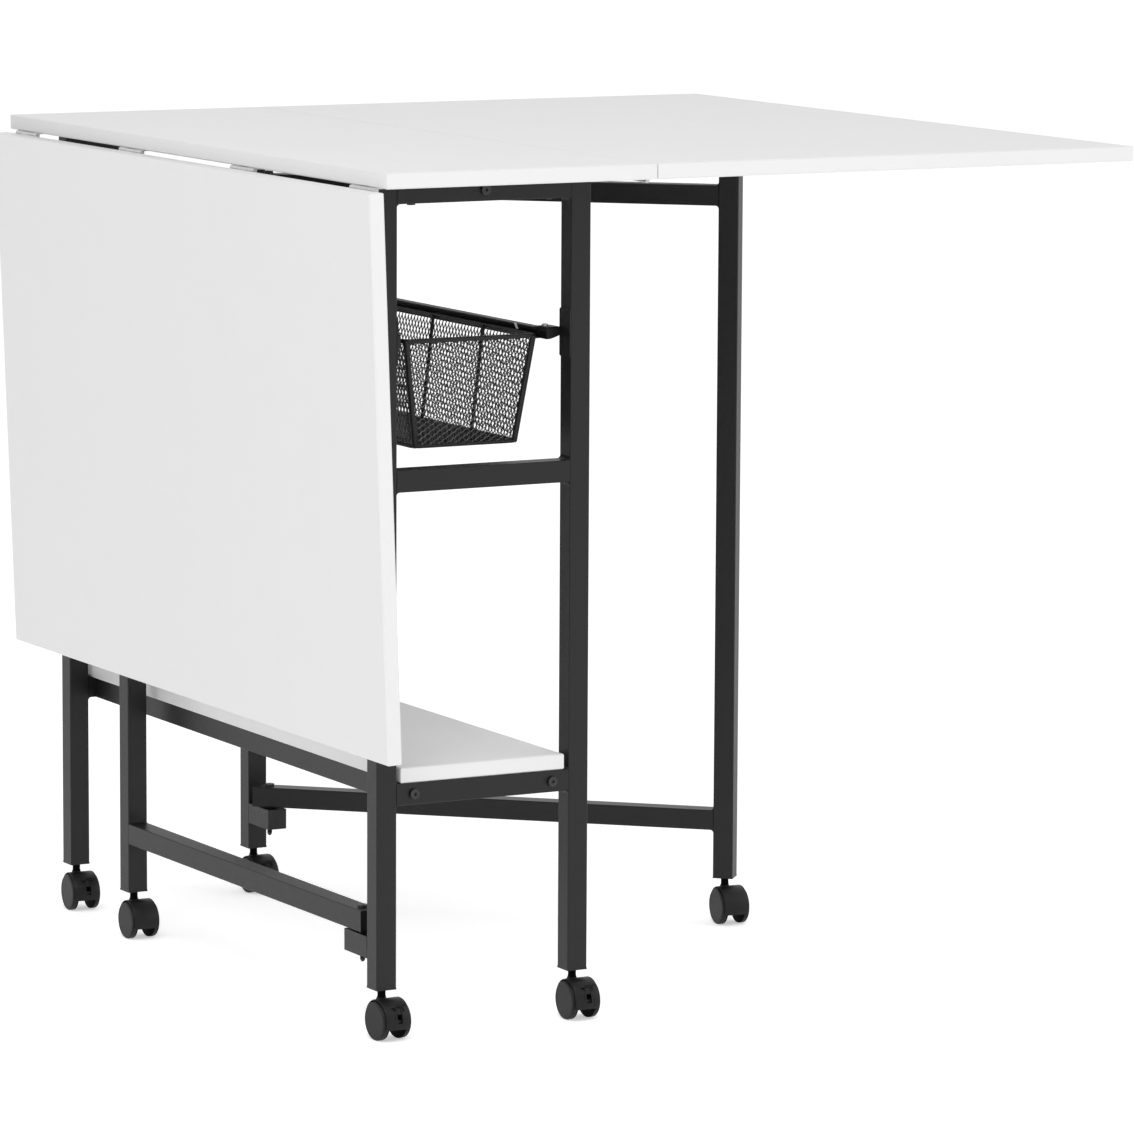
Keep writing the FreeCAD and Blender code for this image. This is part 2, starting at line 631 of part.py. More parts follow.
def make_basket():
    """Wire cage with walls and floor of expanded metal."""
    x1, x0 = value("rim_x"), value("floor_x")
    z1, z0 = value("basket_rim_height"), value("basket_floor")
    front, back = value("basket_front"), value("basket_back")
    slope = value("basket_end_taper")
    rim, cage = value("rim_wire"), value("cage_wire")
    bend = value("rim_bend")
    # The cross wires end beside the rim wire, which leaves its outer side free for the runners.
    x_top = x1 - rim - cage + value("wire_weld")
    wires = [rim_loop(x1, front, back, z1, bend, rim),
             rim_loop(x0, front + slope, back - slope, z0, bend, cage)]
    for i in range(1, BASKET_BAYS):
        y = front + i * (back - front) / BASKET_BAYS
        bends = [(-x_top, z1), (-x0, z0), (x0, z0), (x_top, z1)]
        wires += wire_along([FreeCAD.Vector(x, y, z) for x, z in bends], cage)
    inset = bend * (1 - math.sqrt(0.5))
    for x in (-1, 1):
        for y_rim, y_floor, into in ((front, front + slope, 1), (back, back - slope, -1)):
            top = FreeCAD.Vector(x * (x1 - inset), y_rim + into * inset, z1)
            foot = FreeCAD.Vector(x * (x0 - inset), y_floor + into * inset, z0)
            wires += wire_along([top, foot], cage)
    cage_shape = wires[0].multiFuse(wires[1:]).removeSplitter()
    frame = doc.addObject("Part::Feature", "Cage")
    frame.Shape = Part.Solid(cage_shape.Shells[0]) if not cage_shape.Solids else cage_shape.Solids[0]
    node(frame, "basket_frame")

    thin = value("mesh_sheet")
    clear = inset + cage + value("mesh_gap")
    low_z = z0 + cage + thin
    rise = (low_z - z0) / (z1 - z0)
    lean_in = slope * (1 - rise)
    x_foot = x0 + (x1 - x0) * rise
    x_side = x0 + (x_top - x0) * rise
    # A side wall lies on the cross wires and an end wall on the rim wire, both beside the corner wires.
    wall_low, wall_high = cage + thin, rim + thin
    corners = {
        "left": [(-x_side + wall_low, front + lean_in + clear, low_z),
                 (-x_side + wall_low, back - lean_in - clear, low_z),
                 (-x_top + wall_low, back - clear, z1), (-x_top + wall_low, front + clear, z1)],
        "front": [(x_foot - clear, front + lean_in + wall_low, low_z),
                  (clear - x_foot, front + lean_in + wall_low, low_z),
                  (clear - x1, front + wall_high, z1), (x1 - clear, front + wall_high, z1)],
    }
    middle = (front + back) / 2
    for name, opposite in (("left", "right"), ("front", "back")):
        turned = [(-x, 2 * middle - y, z) for x, y, z in corners[name]]
        corners[opposite] = turned
    side, end = x_foot - clear, lean_in + clear
    corners["floor"] = [(-side, front + end, low_z), (side, front + end, low_z),
                        (side, back - end, low_z), (-side, back - end, low_z)]
    sheets = []
    counts = {"left": (13, 5), "right": (13, 5), "front": (5, 5), "back": (5, 5), "floor": (6, 13)}
    for name, points in corners.items():
        columns, rows = counts[name]
        sheets.append(mesh_panel([FreeCAD.Vector(*p) for p in points], columns, rows))
    mesh = doc.addObject("Part::Feature", "Mesh")
    mesh.Shape = Part.makeCompound(sheets)
    node(mesh, "basket_mesh")


def mesh_panel(corners, columns, rows):
    """One flat sheet of expanded metal between four corners, pierced by staggered diamonds."""
    margin_share = 0.03
    strand_share = 0.13

    def spot(s, t):
        s = margin_share + s * (1 - 2 * margin_share)
        t = margin_share + t * (1 - 2 * margin_share)
        low = corners[0] + (corners[1] - corners[0]) * s
        high = corners[3] + (corners[2] - corners[3]) * s
        return low + (high - low) * t

    half_s = (0.5 - strand_share / 2) / columns
    half_t = (1 - strand_share) / (rows + 1)
    wires = [Part.makePolygon(corners + [corners[0]])]
    for row in range(rows):
        shift = row % 2
        t = (row + 1) / (rows + 1)
        for column in range(columns - shift):
            s = (column + 0.5 + shift / 2) / columns
            points = [spot(s - half_s, t), spot(s, t - half_t), spot(s + half_s, t), spot(s, t + half_t)]
            wires.append(Part.makePolygon(points + [points[0]]))
    face = Part.makeFace(wires, "Part::FaceMakerBullseye")
    normal = (corners[1] - corners[0]).cross(corners[3] - corners[0]).normalize()
    return face.extrude(normal * value("mesh_sheet"))


def make_hood(braked, place):
    """Caster hood with its neck and stem; a braked one has a slot for the lever."""
    axle = ("-trail", "wheel_radius")
    radius = "hood_radius" if braked else "plain_hood_radius"
    drum = cylinder(radius, "hood_width", along_x("-hood_width / 2", *axle))
    open_side = box("hood_width + 2 * overrun", "4 * hood_radius", "hood_floor + overrun",
                    at("-hood_width / 2 - overrun", "-trail - 2 * hood_radius", "-overrun"))
    neck = cylinder("hood_neck_radius", "hood_neck_top - wheel_radius", at(0, 0, "wheel_radius"))
    stem = cylinder("stem_radius", "caster_height + stem_length - wheel_radius", at(0, 0, "wheel_radius"))
    bore = cylinder("axle_radius + bolt_fit", "hood_width + 2 * overrun",
                    along_x("-hood_width / 2 - overrun", *axle))
    openings = [open_side, bore]
    if braked:
        slot_angle = "lever_angle + brake_angle + 2 * brake_slack_angle"
        openings.append(ring_sector("lever_root", "hood_radius + overrun", "lever_width + 2 * lever_play",
                                    "brake_start_angle", slot_angle))
    thing = cut(fuse([drum, neck, stem]), openings)
    thing.Placement = place
    return thing


def ring_sector(inner, outer, width, start, angle):
    """A piece of a ring round the caster's axle, from a start angle above the level, on the -Y side."""
    place = at(f"-({width}) / 2", "-trail", "wheel_radius")
    # The cylinder's own X, where its sector starts, is turned to -Y and its Z to +X.
    turn = FreeCAD.Rotation(FreeCAD.Vector(0, -1, 0), FreeCAD.Vector(0, 0, -1), X_AXIS, "XYZ")
    turn = FreeCAD.Rotation(X_AXIS, -value(f"{start} + {angle}")) * turn
    place = FreeCAD.Placement(place.Base, turn)
    whole = cylinder(outer, width, place, angle)
    hollow = cylinder(inner, f"{width} + 2 * overrun",
                      along_x(f"-({width}) / 2 - overrun", "-trail", "wheel_radius"))
    return cut(whole, [hollow])


def make_wheels(place):
    """Twin wheels on one axle, turned in one piece about X."""
    body = doc.addObject("PartDesign::Body", "Wheels")
    sketch = sketch_on(body, "XY_Plane")
    rim = "wheel_radius"
    face = "wheel_radius - wheel_edge"
    end = "caster_width / 2"
    inner = "hood_width / 2 + wheel_gap"
    half = [(inner, "axle_radius"), (inner, rim), (f"{end} - wheel_edge", rim), (end, face), (end, 0)]
    mirrored = [(f"-({x})", y) for x, y in reversed(half)]
    outline(sketch, half + mirrored)
    turned = body.newObject("PartDesign::Revolution", "Turned")
    turned.Profile = sketch
    turned.ReferenceAxis = (sketch, ["H_Axis"])
    doc.recompute()
    body.Placement = place * at(0, "-trail", "wheel_radius")
    return body


def make_casters():
    spots = {}
    for end, y in (("front", "front_row"), ("back", "back_row")):
        for side, sign in SIDES.items():
            spots[f"{end}_{side}"] = (TABLE * at(f"{sign} * post_middle", y, 0)).Base
    for side in SIDES:
        spots[f"gate_{side}"] = (GATES[side] * at(f"gate_{side}_post", 0, 0)).Base
    for name, spot in spots.items():
        stand = FreeCAD.Placement(spot, FreeCAD.Rotation(Z_AXIS, CASTER_TURNS[name]))
        braked = not name.startswith("gate")
        none = at(0, 0, 0)
        node(make_hood(braked, none), f"caster_{name}_hood", stand)
        node(make_wheels(none), f"caster_{name}_wheels", stand)
        if braked:
            lever = ring_sector("lever_root + lever_play", "hood_radius + lever_reach", "lever_width",
                                "brake_start_angle + brake_angle + brake_slack_angle", "lever_angle")
            node(lever, f"caster_{name}_brake", stand)
    plugs = []
    for y in ("front_row", "back_row"):
        for sign in SIDES.values():
            plugs.append(foot_plug(f"{sign} * post_middle", y))
    node(group(plugs), "post_plugs")


make_boards()
make_frame()
make_fasteners()
make_stubs()
make_gates()
make_hinges()
make_runners()
make_basket()
make_casters()
doc.recompute()

for thing in doc.Objects:
    if {"Invalid", "Error"} & set(thing.State):
        raise RuntimeError(f"{thing.Label} failed: {thing.State}")
for thing in nodes:
    if thing.Shape.isNull() or not thing.Shape.isValid():
        raise RuntimeError(f"{thing.Label} has no valid shape")

os.makedirs("parts", exist_ok=True)
for thing in nodes:
    thing.Shape.exportStep(f"parts/{thing.Label}.step")
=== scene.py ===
import json
import math
import random

import bmesh
import bpy
from mathutils import Matrix, Vector


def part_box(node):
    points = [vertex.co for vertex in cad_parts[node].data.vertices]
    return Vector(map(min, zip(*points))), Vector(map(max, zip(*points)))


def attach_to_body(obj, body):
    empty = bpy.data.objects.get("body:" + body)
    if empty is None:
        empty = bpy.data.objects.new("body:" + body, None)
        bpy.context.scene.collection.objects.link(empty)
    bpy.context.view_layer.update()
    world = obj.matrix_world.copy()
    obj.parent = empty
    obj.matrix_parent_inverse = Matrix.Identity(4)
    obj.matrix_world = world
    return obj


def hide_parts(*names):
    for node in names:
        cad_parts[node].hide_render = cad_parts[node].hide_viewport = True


# Fabric cutting table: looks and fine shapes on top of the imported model.
# Lengths are metres, in the model's frame.
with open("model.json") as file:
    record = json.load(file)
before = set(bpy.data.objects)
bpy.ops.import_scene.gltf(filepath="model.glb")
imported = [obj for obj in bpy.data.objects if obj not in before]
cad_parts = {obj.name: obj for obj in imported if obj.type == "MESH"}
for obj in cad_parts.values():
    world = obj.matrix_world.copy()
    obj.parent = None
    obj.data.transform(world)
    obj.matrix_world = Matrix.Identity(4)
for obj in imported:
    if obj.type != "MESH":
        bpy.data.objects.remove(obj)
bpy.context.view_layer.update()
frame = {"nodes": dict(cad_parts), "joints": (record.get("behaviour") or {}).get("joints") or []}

MM = 0.001
X_AXIS = Vector((1, 0, 0))
Z_AXIS = Vector((0, 0, 1))
JOINTS = {joint["name"]: joint for joint in frame["joints"]}
SMOOTH_BELOW = math.radians(32)
SAME_PLACE = 0.001 * MM
ROUND_STEPS = 64
SMALL_STEPS = 24
SEED = 11
random.seed(SEED)


# Materials

MIX_FACTOR = 0
MIX_FIRST = 6
MIX_SECOND = 7
MIX_COLOUR = 2


class Shade:
    """A principled material whose noise layers read Object coordinates."""

    def __init__(self, name, roughness, metallic=0.0, specular=0.5):
        self.material = bpy.data.materials.new(name)
        self.material.use_nodes = True
        self.tree = self.material.node_tree
        self.surface = next(n for n in self.tree.nodes if n.type == "BSDF_PRINCIPLED")
        self.coords = self.tree.nodes.new("ShaderNodeTexCoord").outputs["Object"]
        self.surface.inputs["Roughness"].default_value = roughness
        self.surface.inputs["Metallic"].default_value = metallic
        self.surface.inputs["Specular IOR Level"].default_value = specular
        self.normal = None

    def add(self, kind, values, links):
        """A node with set inputs and links into its inputs."""
        node = self.tree.nodes.new(kind)
        for name, number in values.items():
            node.inputs[name].default_value = number
        for name, output in links.items():
            self.tree.links.new(output, node.inputs[name])
        return node

    def noise(self, scale, detail, stretch=None):
        coords = self.coords
        if stretch:
            mapping = self.add("ShaderNodeMapping", {"Scale": stretch}, {"Vector": coords})
            coords = mapping.outputs["Vector"]
        node = self.add("ShaderNodeTexNoise", {"Scale": scale, "Detail": detail}, {"Vector": coords})
        return node.outputs["Fac"]

    def colour(self, dark, light, factor):
        """Base colour between two colours, by a factor's noise."""
        node = self.add("ShaderNodeMix", {}, {})
        node.data_type = "RGBA"
        for place, value in ((MIX_FIRST, dark), (MIX_SECOND, light)):
            node.inputs[place].default_value = (*value, 1.0)
        self.tree.links.new(factor, node.inputs[MIX_FACTOR])
        self.tree.links.new(node.outputs[MIX_COLOUR], self.surface.inputs["Base Color"])

    def rough(self, factor, roughness, less, more):
        """Roughness from a little less to a little more than its middle value."""
        limits = {"To Min": roughness - less, "To Max": roughness + more}
        node = self.add("ShaderNodeMapRange", limits, {"Value": factor})
        self.tree.links.new(node.outputs["Result"], self.surface.inputs["Roughness"])

    def bump(self, height, strength, distance):
        """Adds a bump layer on top of the layers before it."""
        values = {"Strength": strength, "Distance": distance}
        node = self.add("ShaderNodeBump", values, {"Height": height})
        if self.normal:
            self.tree.links.new(self.normal, node.inputs["Normal"])
        self.normal = node.outputs["Normal"]
        self.tree.links.new(self.normal, self.surface.inputs["Normal"])


def laminate(name, dark, light, roughness):
    """White laminate: an even colour, a faint cloudiness and a very fine grain."""
    shade = Shade(name, roughness)
    shade.colour(dark, light, shade.noise(scale=14, detail=3))
    shade.rough(shade.noise(scale=60, detail=3), roughness, less=0.05, more=0.05)
    shade.bump(shade.noise(scale=1500, detail=2), strength=0.10, distance=0.05 * MM)
    return shade.material


def powder_coat(name, dark, light, roughness, specular):
    """Satin black powder coat with its orange peel."""
    shade = Shade(name, roughness, specular=specular)
    shade.colour(dark, light, shade.noise(scale=45, detail=4))
    shade.rough(shade.noise(scale=220, detail=3), roughness, less=0.05, more=0.06)
    shade.bump(shade.noise(scale=520, detail=2), strength=0.16, distance=0.25 * MM)
    shade.bump(shade.noise(scale=2600, detail=1), strength=0.08, distance=0.05 * MM)
    return shade.material


def moulded(name, dark, light, roughness, specular):
    """Moulded plastic with a fine spark-eroded grain."""
    shade = Shade(name, roughness, specular=specular)
    shade.colour(dark, light, shade.noise(scale=90, detail=3))
    shade.rough(shade.noise(scale=300, detail=3), roughness, less=0.06, more=0.06)
    shade.bump(shade.noise(scale=3200, detail=2), strength=0.12, distance=0.06 * MM)
    return shade.material


def metal(name, dark, light, roughness, stretch, grain):
    """Bare or blackened metal, its grain stretched along the axes as given."""
    shade = Shade(name, roughness, metallic=1.0)
    shade.colour(dark, light, shade.noise(scale=130, detail=4))
    shade.rough(shade.noise(scale=400, detail=3, stretch=stretch), roughness, less=0.08, more=0.10)
    shade.bump(shade.noise(scale=900, detail=2, stretch=stretch), strength=grain, distance=0.04 * MM)
    return shade.material


BLACK = (0.0035, 0.0035, 0.0038)
SOFT_BLACK = (0.0050, 0.0050, 0.0053)
# Painted shade: near-black tones for caster parts that lie in shade.
PAINTED_SHADE_BLACK = (0.0010, 0.0010, 0.0010)
PAINTED_SHADE_SOFT_BLACK = (0.0016, 0.0016, 0.0016)
WHITE_DARK = (0.775, 0.775, 0.775)
WHITE_LIGHT = (0.795, 0.795, 0.795)
ZINC_DARK = (0.50, 0.50, 0.49)
ZINC_LIGHT = (0.64, 0.64, 0.62)
STEEL_DARK = (0.045, 0.045, 0.047)
STEEL_LIGHT = (0.07, 0.07, 0.072)
BRUSHED = (1, 12, 1)
EVEN = (1, 1, 1)
MATERIALS = {
    "white_laminate": laminate("white laminate", WHITE_DARK, WHITE_LIGHT, roughness=0.42),
    "black_powder_coat": powder_coat("black powder coat", BLACK, SOFT_BLACK, roughness=0.42, specular=0.38),
    "black_plastic": moulded("black plastic", BLACK, SOFT_BLACK, roughness=0.40, specular=0.36),
    "caster_plastic": moulded("caster plastic", BLACK, SOFT_BLACK, roughness=0.44, specular=0.27),
    "zinc_plate": metal("zinc plate", ZINC_DARK, ZINC_LIGHT, roughness=0.34, stretch=BRUSHED, grain=0.10),
    "blackened_bolt": metal("blackened steel", STEEL_DARK, STEEL_LIGHT, roughness=0.38, stretch=EVEN,
                            grain=0.08),
    "basket_wire": powder_coat("basket wire paint", BLACK, SOFT_BLACK, roughness=0.38, specular=0.36),
    "basket_mesh": powder_coat("basket mesh paint", BLACK, SOFT_BLACK, roughness=0.34, specular=1.0),
}
EDGE_BAND = laminate("edge band", WHITE_DARK, WHITE_LIGHT, roughness=0.34)
# Painted shade: a dull near-black for the wheels' inner faces, the axle shaft and the caster necks, where
# shade falls between the wheels and under the hood.
PAINTED_SHADE_PLASTIC = moulded("caster inner plastic", PAINTED_SHADE_BLACK, PAINTED_SHADE_SOFT_BLACK, roughness=0.75, specular=0.08)

for node in frame["nodes"].values():
    for part_slot in node.material_slots:
        part_slot.material = MATERIALS[part_slot.material.name.split(".")[0]]


# Shapes: each is a list of points and a list of faces

def in_mm(table):
    """Pairs of millimetres as pairs of metres."""
    return [(a * MM, b * MM) for a, b in table]


def merged(shapes):
    points, faces = [], []
    for some_points, some_faces in shapes:
        first = len(points)
        points += some_points
        faces += [tuple(i + first for i in face) for face in some_faces]
    return points, faces


def placed(shape, matrix):
    return [matrix @ Vector(p) for p in shape[0]], shape[1]


def skin(rings, closed_path=False, capped=True):
    """Faces between rings of points of one length; the end rings may be capped."""
    count = len(rings[0])
    points = [Vector(p) for ring in rings for p in ring]
    faces = []
    last_ring = len(rings) if closed_path else len(rings) - 1
    for i in range(last_ring):
        here = i * count
        there = (i + 1) % len(rings) * count
        for j in range(count):
            k = (j + 1) % count
            faces.append((here + j, here + k, there + k, there + j))
    if capped and not closed_path:
        faces.append(tuple(range(count)))
        faces.append(tuple(range((len(rings) - 1) * count, len(rings) * count)))
    return points, faces


def block(low_corner, high_corner):
    x0, y0, z0 = low_corner
    x1, y1, z1 = high_corner
    ring = [(x0, y0), (x1, y0), (x1, y1), (x0, y1)]
    return skin([[(x, y, z0) for x, y in ring], [(x, y, z1) for x, y in ring]])


def lathe(profile, steps=ROUND_STEPS):
    """A profile of places and radii turned about X; an end on the axis closes to one point."""
    rings = [p for p in profile if p[1] > 0]
    turns = [math.tau * i / steps for i in range(steps)]
    circles = [[(x, r * math.cos(a), r * math.sin(a)) for a in turns] for x, r in rings]
    points, faces = skin(circles, capped=False)
    for pole, start in ((profile[0], 0), (profile[-1], (len(rings) - 1) * steps)):
        if pole[1] == 0:
            points.append(Vector((pole[0], 0, 0)))
            tip = len(points) - 1
            faces += [(start + j, start + (j + 1) % steps, tip) for j in range(steps)]
        else:
            faces.append(tuple(start + j for j in range(steps)))
    return points, faces


def upright(profile, steps=32):
    """A lathe turned to stand along Z."""
    return placed(lathe(profile, steps), Matrix.Rotation(-math.pi / 2, 4, "Y"))


def bent_path(corners, bend, closed=False, steps=8):
    """Points along a line through corners whose turns are arcs of one radius."""
    path = []
    count = len(corners)
    for i, corner in enumerate(corners):
        if not closed and i in (0, count - 1):
            path.append(Vector(corner))
            continue
        here = Vector(corner)
        way_in = (Vector(corners[i - 1]) - here).normalized()
        way_out = (Vector(corners[(i + 1) % count]) - here).normalized()
        half = way_in.angle(way_out) / 2
        centre = here + (way_in + way_out).normalized() * (bend / math.sin(half))
        start = (here + way_in * (bend / math.tan(half)) - centre).normalized()
        end = (here + way_out * (bend / math.tan(half)) - centre).normalized()
        for step in range(steps + 1):
            path.append(centre + start.slerp(end, step / steps) * bend)
    return path


WIRE_END_SHARE = 0.6
WIRE_REACH_SHARE = 0.5


def wire(path, radius, closed=False, sides=12):
    """A round wire along a path, its rings carried along without twist and its free ends rounded."""
    count = len(path)
    tangents = []
    for i in range(count):
        before = path[i - 1] if i or closed else path[0]
        after = path[(i + 1) % count] if i < count - 1 or closed else path[i]
        tangents.append((after - before).normalized())
    turns = [math.tau * j / sides for j in range(sides)]
    side = tangents[0].orthogonal().normalized()
    rings = []
    for i, (point, tangent) in enumerate(zip(path, tangents)):
        if i:
            side = tangents[i - 1].rotation_difference(tangent) @ side
        side = (side - tangent * side.dot(tangent)).normalized()
        other = tangent.cross(side)
        rings.append([point + side * (radius * math.cos(a)) + other * (radius * math.sin(a))
                      for a in turns])
    if closed:
        return skin(rings, closed_path=True)
    ends = []
    for i, way in ((0, -1), (-1, 1)):
        reach = tangents[i] * (radius * WIRE_REACH_SHARE * way)
        ends.append([path[i] + (p - path[i]) * WIRE_END_SHARE + reach for p in rings[i]])
    return skin([ends[0], *rings, ends[1]])


# Meshes and pieces

def mesh_of(shape, name="shape"):
    mesh = bpy.data.meshes.new(name)
    mesh.from_pydata([tuple(p) for p in shape[0]], [], shape[1])
    return mesh


def cut(base, tools):
    """The base shape less the tools."""
    things = [bpy.data.objects.new("solid", mesh_of(shape)) for shape in (base, *tools)]
    for thing in things:
        bpy.context.scene.collection.objects.link(thing)
        work = bmesh.new()
        work.from_mesh(thing.data)
        bmesh.ops.recalc_face_normals(work, faces=work.faces)
        work.to_mesh(thing.data)
        work.free()
    for tool in things[1:]:
        modifier = things[0].modifiers.new("Less", "BOOLEAN")
        modifier.operation = "DIFFERENCE"
        modifier.solver = "EXACT"
        modifier.object = tool
    graph = bpy.context.evaluated_depsgraph_get()
    mesh = bpy.data.meshes.new_from_object(things[0].evaluated_get(graph))
    for thing in things:
        bpy.data.objects.remove(thing)
    return [v.co.copy() for v in mesh.vertices], [tuple(p.vertices) for p in mesh.polygons]


def finish_mesh(mesh, material, outward=True):
    """Joins a mesh's seams, turns its faces outward and sets its material and smoothing."""
    work = bmesh.new()
    work.from_mesh(mesh)
    bmesh.ops.remove_doubles(work, verts=work.verts, dist=SAME_PLACE)
    if outward:
        bmesh.ops.recalc_face_normals(work, faces=work.faces)
    work.to_mesh(mesh)
    work.free()
    mesh.materials.clear()
    mesh.materials.append(material)
    mesh.shade_smooth()
    mesh.set_sharp_from_angle(angle=SMOOTH_BELOW)


def attach(name, mesh, body, stands_for=()):
    """Makes a finished mesh a piece of the object."""
    thing = bpy.data.objects.new(name, mesh)
    bpy.context.scene.collection.objects.link(thing)
    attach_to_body(thing, body)
    for label in stands_for:
        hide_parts(label)


def piece(name, shape, body, slot_name, stands_for=(), material=None):
    """Makes a shape a piece of the object, with its slot's material or another."""
    mesh = mesh_of(shape, name)
    finish_mesh(mesh, material or MATERIALS[slot_name])
    attach(name, mesh, body, stands_for)


# Geometry trees

def new_tree(name, inputs):
    """A geometry tree with one geometry in and out and named inputs besides."""
    tree = bpy.data.node_groups.new(name, "GeometryNodeTree")
    tree.interface.new_socket("Geometry", in_out="INPUT", socket_type="NodeSocketGeometry")
    for label, kind in inputs.items():
        tree.interface.new_socket(label, in_out="INPUT", socket_type=kind)
    tree.interface.new_socket("Geometry", in_out="OUTPUT", socket_type="NodeSocketGeometry")
    return tree, tree.nodes.new("NodeGroupInput"), tree.nodes.new("NodeGroupOutput")


def finish_tree(tree, given, out, geometry):
    """Ends a tree in real geometry with the material that is its input."""
    real = tree.nodes.new("GeometryNodeRealizeInstances")
    tree.links.new(geometry, real.inputs["Geometry"])
    paint = tree.nodes.new("GeometryNodeSetMaterial")
    tree.links.new(real.outputs["Geometry"], paint.inputs["Geometry"])
    tree.links.new(given.outputs["Material"], paint.inputs["Material"])
    tree.links.new(paint.outputs["Geometry"], out.inputs["Geometry"])


def grown(tree, seed_mesh, values):
    """Runs a tree on a mesh and gives back the plain mesh that it makes."""
    carrier = bpy.data.objects.new("carrier", seed_mesh)
    bpy.context.scene.collection.objects.link(carrier)
    modifier = carrier.modifiers.new("Grow", "NODES")
    modifier.node_group = tree
    for item in tree.interface.items_tree:
        if item.in_out == "INPUT" and item.name in values:
            modifier[item.identifier] = values[item.name]
    graph = bpy.context.evaluated_depsgraph_get()
    mesh = bpy.data.meshes.new_from_object(carrier.evaluated_get(graph))
    bpy.data.objects.remove(carrier)
    return mesh


def strand_tree():
    """Turns lines into strands of a rectangular section, tilted round the line."""
    tree, given, out = new_tree("strands", {
        "Width": "NodeSocketFloat",
        "Thickness": "NodeSocketFloat",
        "Tilt": "NodeSocketFloat",
        "Material": "NodeSocketMaterial",
    })
    lines = tree.nodes.new("GeometryNodeMeshToCurve")
    untwisted = tree.nodes.new("GeometryNodeSetCurveNormal")
    untwisted.mode = "Z_UP"
    tilted = tree.nodes.new("GeometryNodeSetCurveTilt")
    section = tree.nodes.new("GeometryNodeCurvePrimitiveQuadrilateral")
    solid = tree.nodes.new("GeometryNodeCurveToMesh")
    solid.inputs["Fill Caps"].default_value = True
    tree.links.new(given.outputs["Geometry"], lines.inputs["Mesh"])
    tree.links.new(lines.outputs["Curve"], untwisted.inputs["Curve"])
    tree.links.new(given.outputs["Thickness"], section.inputs["Width"])
    tree.links.new(given.outputs["Width"], section.inputs["Height"])
    tree.links.new(untwisted.outputs["Curve"], tilted.inputs["Curve"])
    tree.links.new(given.outputs["Tilt"], tilted.inputs["Tilt"])
    tree.links.new(tilted.outputs["Curve"], solid.inputs["Curve"])
    tree.links.new(section.outputs["Curve"], solid.inputs["Profile Curve"])
    finish_tree(tree, given, out, solid.outputs["Mesh"])
    return tree


def copy_tree():
    """Puts a copy of an object on each point, turned by the point's own turn."""
    tree, given, out = new_tree("copies", {"Shape": "NodeSocketObject", "Material": "NodeSocketMaterial"})
    shape = tree.nodes.new("GeometryNodeObjectInfo")
    turn = tree.nodes.new("GeometryNodeInputNamedAttribute")
    turn.data_type = "FLOAT_VECTOR"
    turn.inputs["Name"].default_value = "turn"
    copies = tree.nodes.new("GeometryNodeInstanceOnPoints")
    tree.links.new(given.outputs["Shape"], shape.inputs["Object"])
    tree.links.new(given.outputs["Geometry"], copies.inputs["Points"])
    tree.links.new(shape.outputs["Geometry"], copies.inputs["Instance"])
    tree.links.new(turn.outputs["Attribute"], copies.inputs["Rotation"])
    finish_tree(tree, given, out, copies.outputs["Instances"])
    return tree


STRANDS = strand_tree()
COPIES = copy_tree()


def repeated(name, shape, spots, body, slot_name):
    """One shape on many spots, each a matrix, as one piece."""
    pattern = bpy.data.objects.new("pattern", mesh_of(shape))
    bpy.context.scene.collection.objects.link(pattern)
    seed_mesh = bpy.data.meshes.new("spots")
    seed_mesh.from_pydata([tuple(spot.to_translation()) for spot in spots], [], [])
    turns = seed_mesh.attributes.new("turn", "FLOAT_VECTOR", "POINT")
    for i, spot in enumerate(spots):
        turns.data[i].vector = tuple(spot.to_euler("XYZ"))
    paint = MATERIALS[slot_name]
    mesh = grown(COPIES, seed_mesh, {"Shape": pattern, "Material": paint})
    bpy.data.objects.remove(pattern)
    finish_mesh(mesh, paint)
    attach(name, mesh, body)


# Leaves: their shapes are drawn raised, round the hinge pin, and then placed on either leaf

def box_of(label):
    low_corner, high_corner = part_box(label)
    return Vector(low_corner), Vector(high_corner)


PIN_LEFT = Vector(JOINTS["leaf_left_hinge"]["pos_m"])
PIN_RIGHT = Vector(JOINTS["leaf_right_hinge"]["pos_m"])
LEAF_LOW, LEAF_HIGH = box_of("leaf_right_board")
LEAF_MIDDLE = (LEAF_LOW + LEAF_HIGH) / 2 - PIN_RIGHT
LEAN = math.atan2(LEAF_MIDDLE.z, LEAF_MIDDLE.x)
HANGING = Matrix.Translation(PIN_LEFT) @ Matrix.Rotation(-math.pi / 2 - LEAN, 4, "Y")
RAISED = Matrix.Translation(PIN_RIGHT)


# Boards' edge bands: a strip round each board, set in a little from its faces

BAND_PROUD = 0.25 * MM
BAND_INSET = 0.9 * MM
BAND_DEPTH = 0.6 * MM
BAND_CHAMFER = 0.25 * MM
BAND_CORNER = 0.8 * MM
BAND_CORNER_SHARE = 0.3


def corner_step(bend, end):
    """How far a corner's point stands back: most at its own end, less in the middle."""
    if bend == end:
        return BAND_CORNER
    return BAND_CORNER * BAND_CORNER_SHARE if bend == 0 else 0


def edge_band(low_corner, high_corner):
    """A softly rounded strip round a board's four edges."""
    section = [(-BAND_DEPTH, BAND_INSET), (0, BAND_INSET), (BAND_PROUD, BAND_INSET + BAND_CHAMFER)]
    height = high_corner.z - low_corner.z
    section += [(out, height - z) for out, z in reversed(section)]
    middle = (low_corner + high_corner) / 2
    half = (high_corner - low_corner) / 2
    rings = []
    for sign_x, sign_y in ((-1, -1), (1, -1), (1, 1), (-1, 1)):
        corner = Vector((middle.x + sign_x * half.x, middle.y + sign_y * half.y, low_corner.z))
        for bend in (-1, 0, 1):
            back_x = corner_step(bend, sign_x * sign_y)
            back_y = corner_step(bend, -sign_x * sign_y)
            rings.append([corner + Vector((sign_x * (out - back_x), sign_y * (out - back_y), z))
                          for out, z in section])
    return skin(rings, closed_path=True)


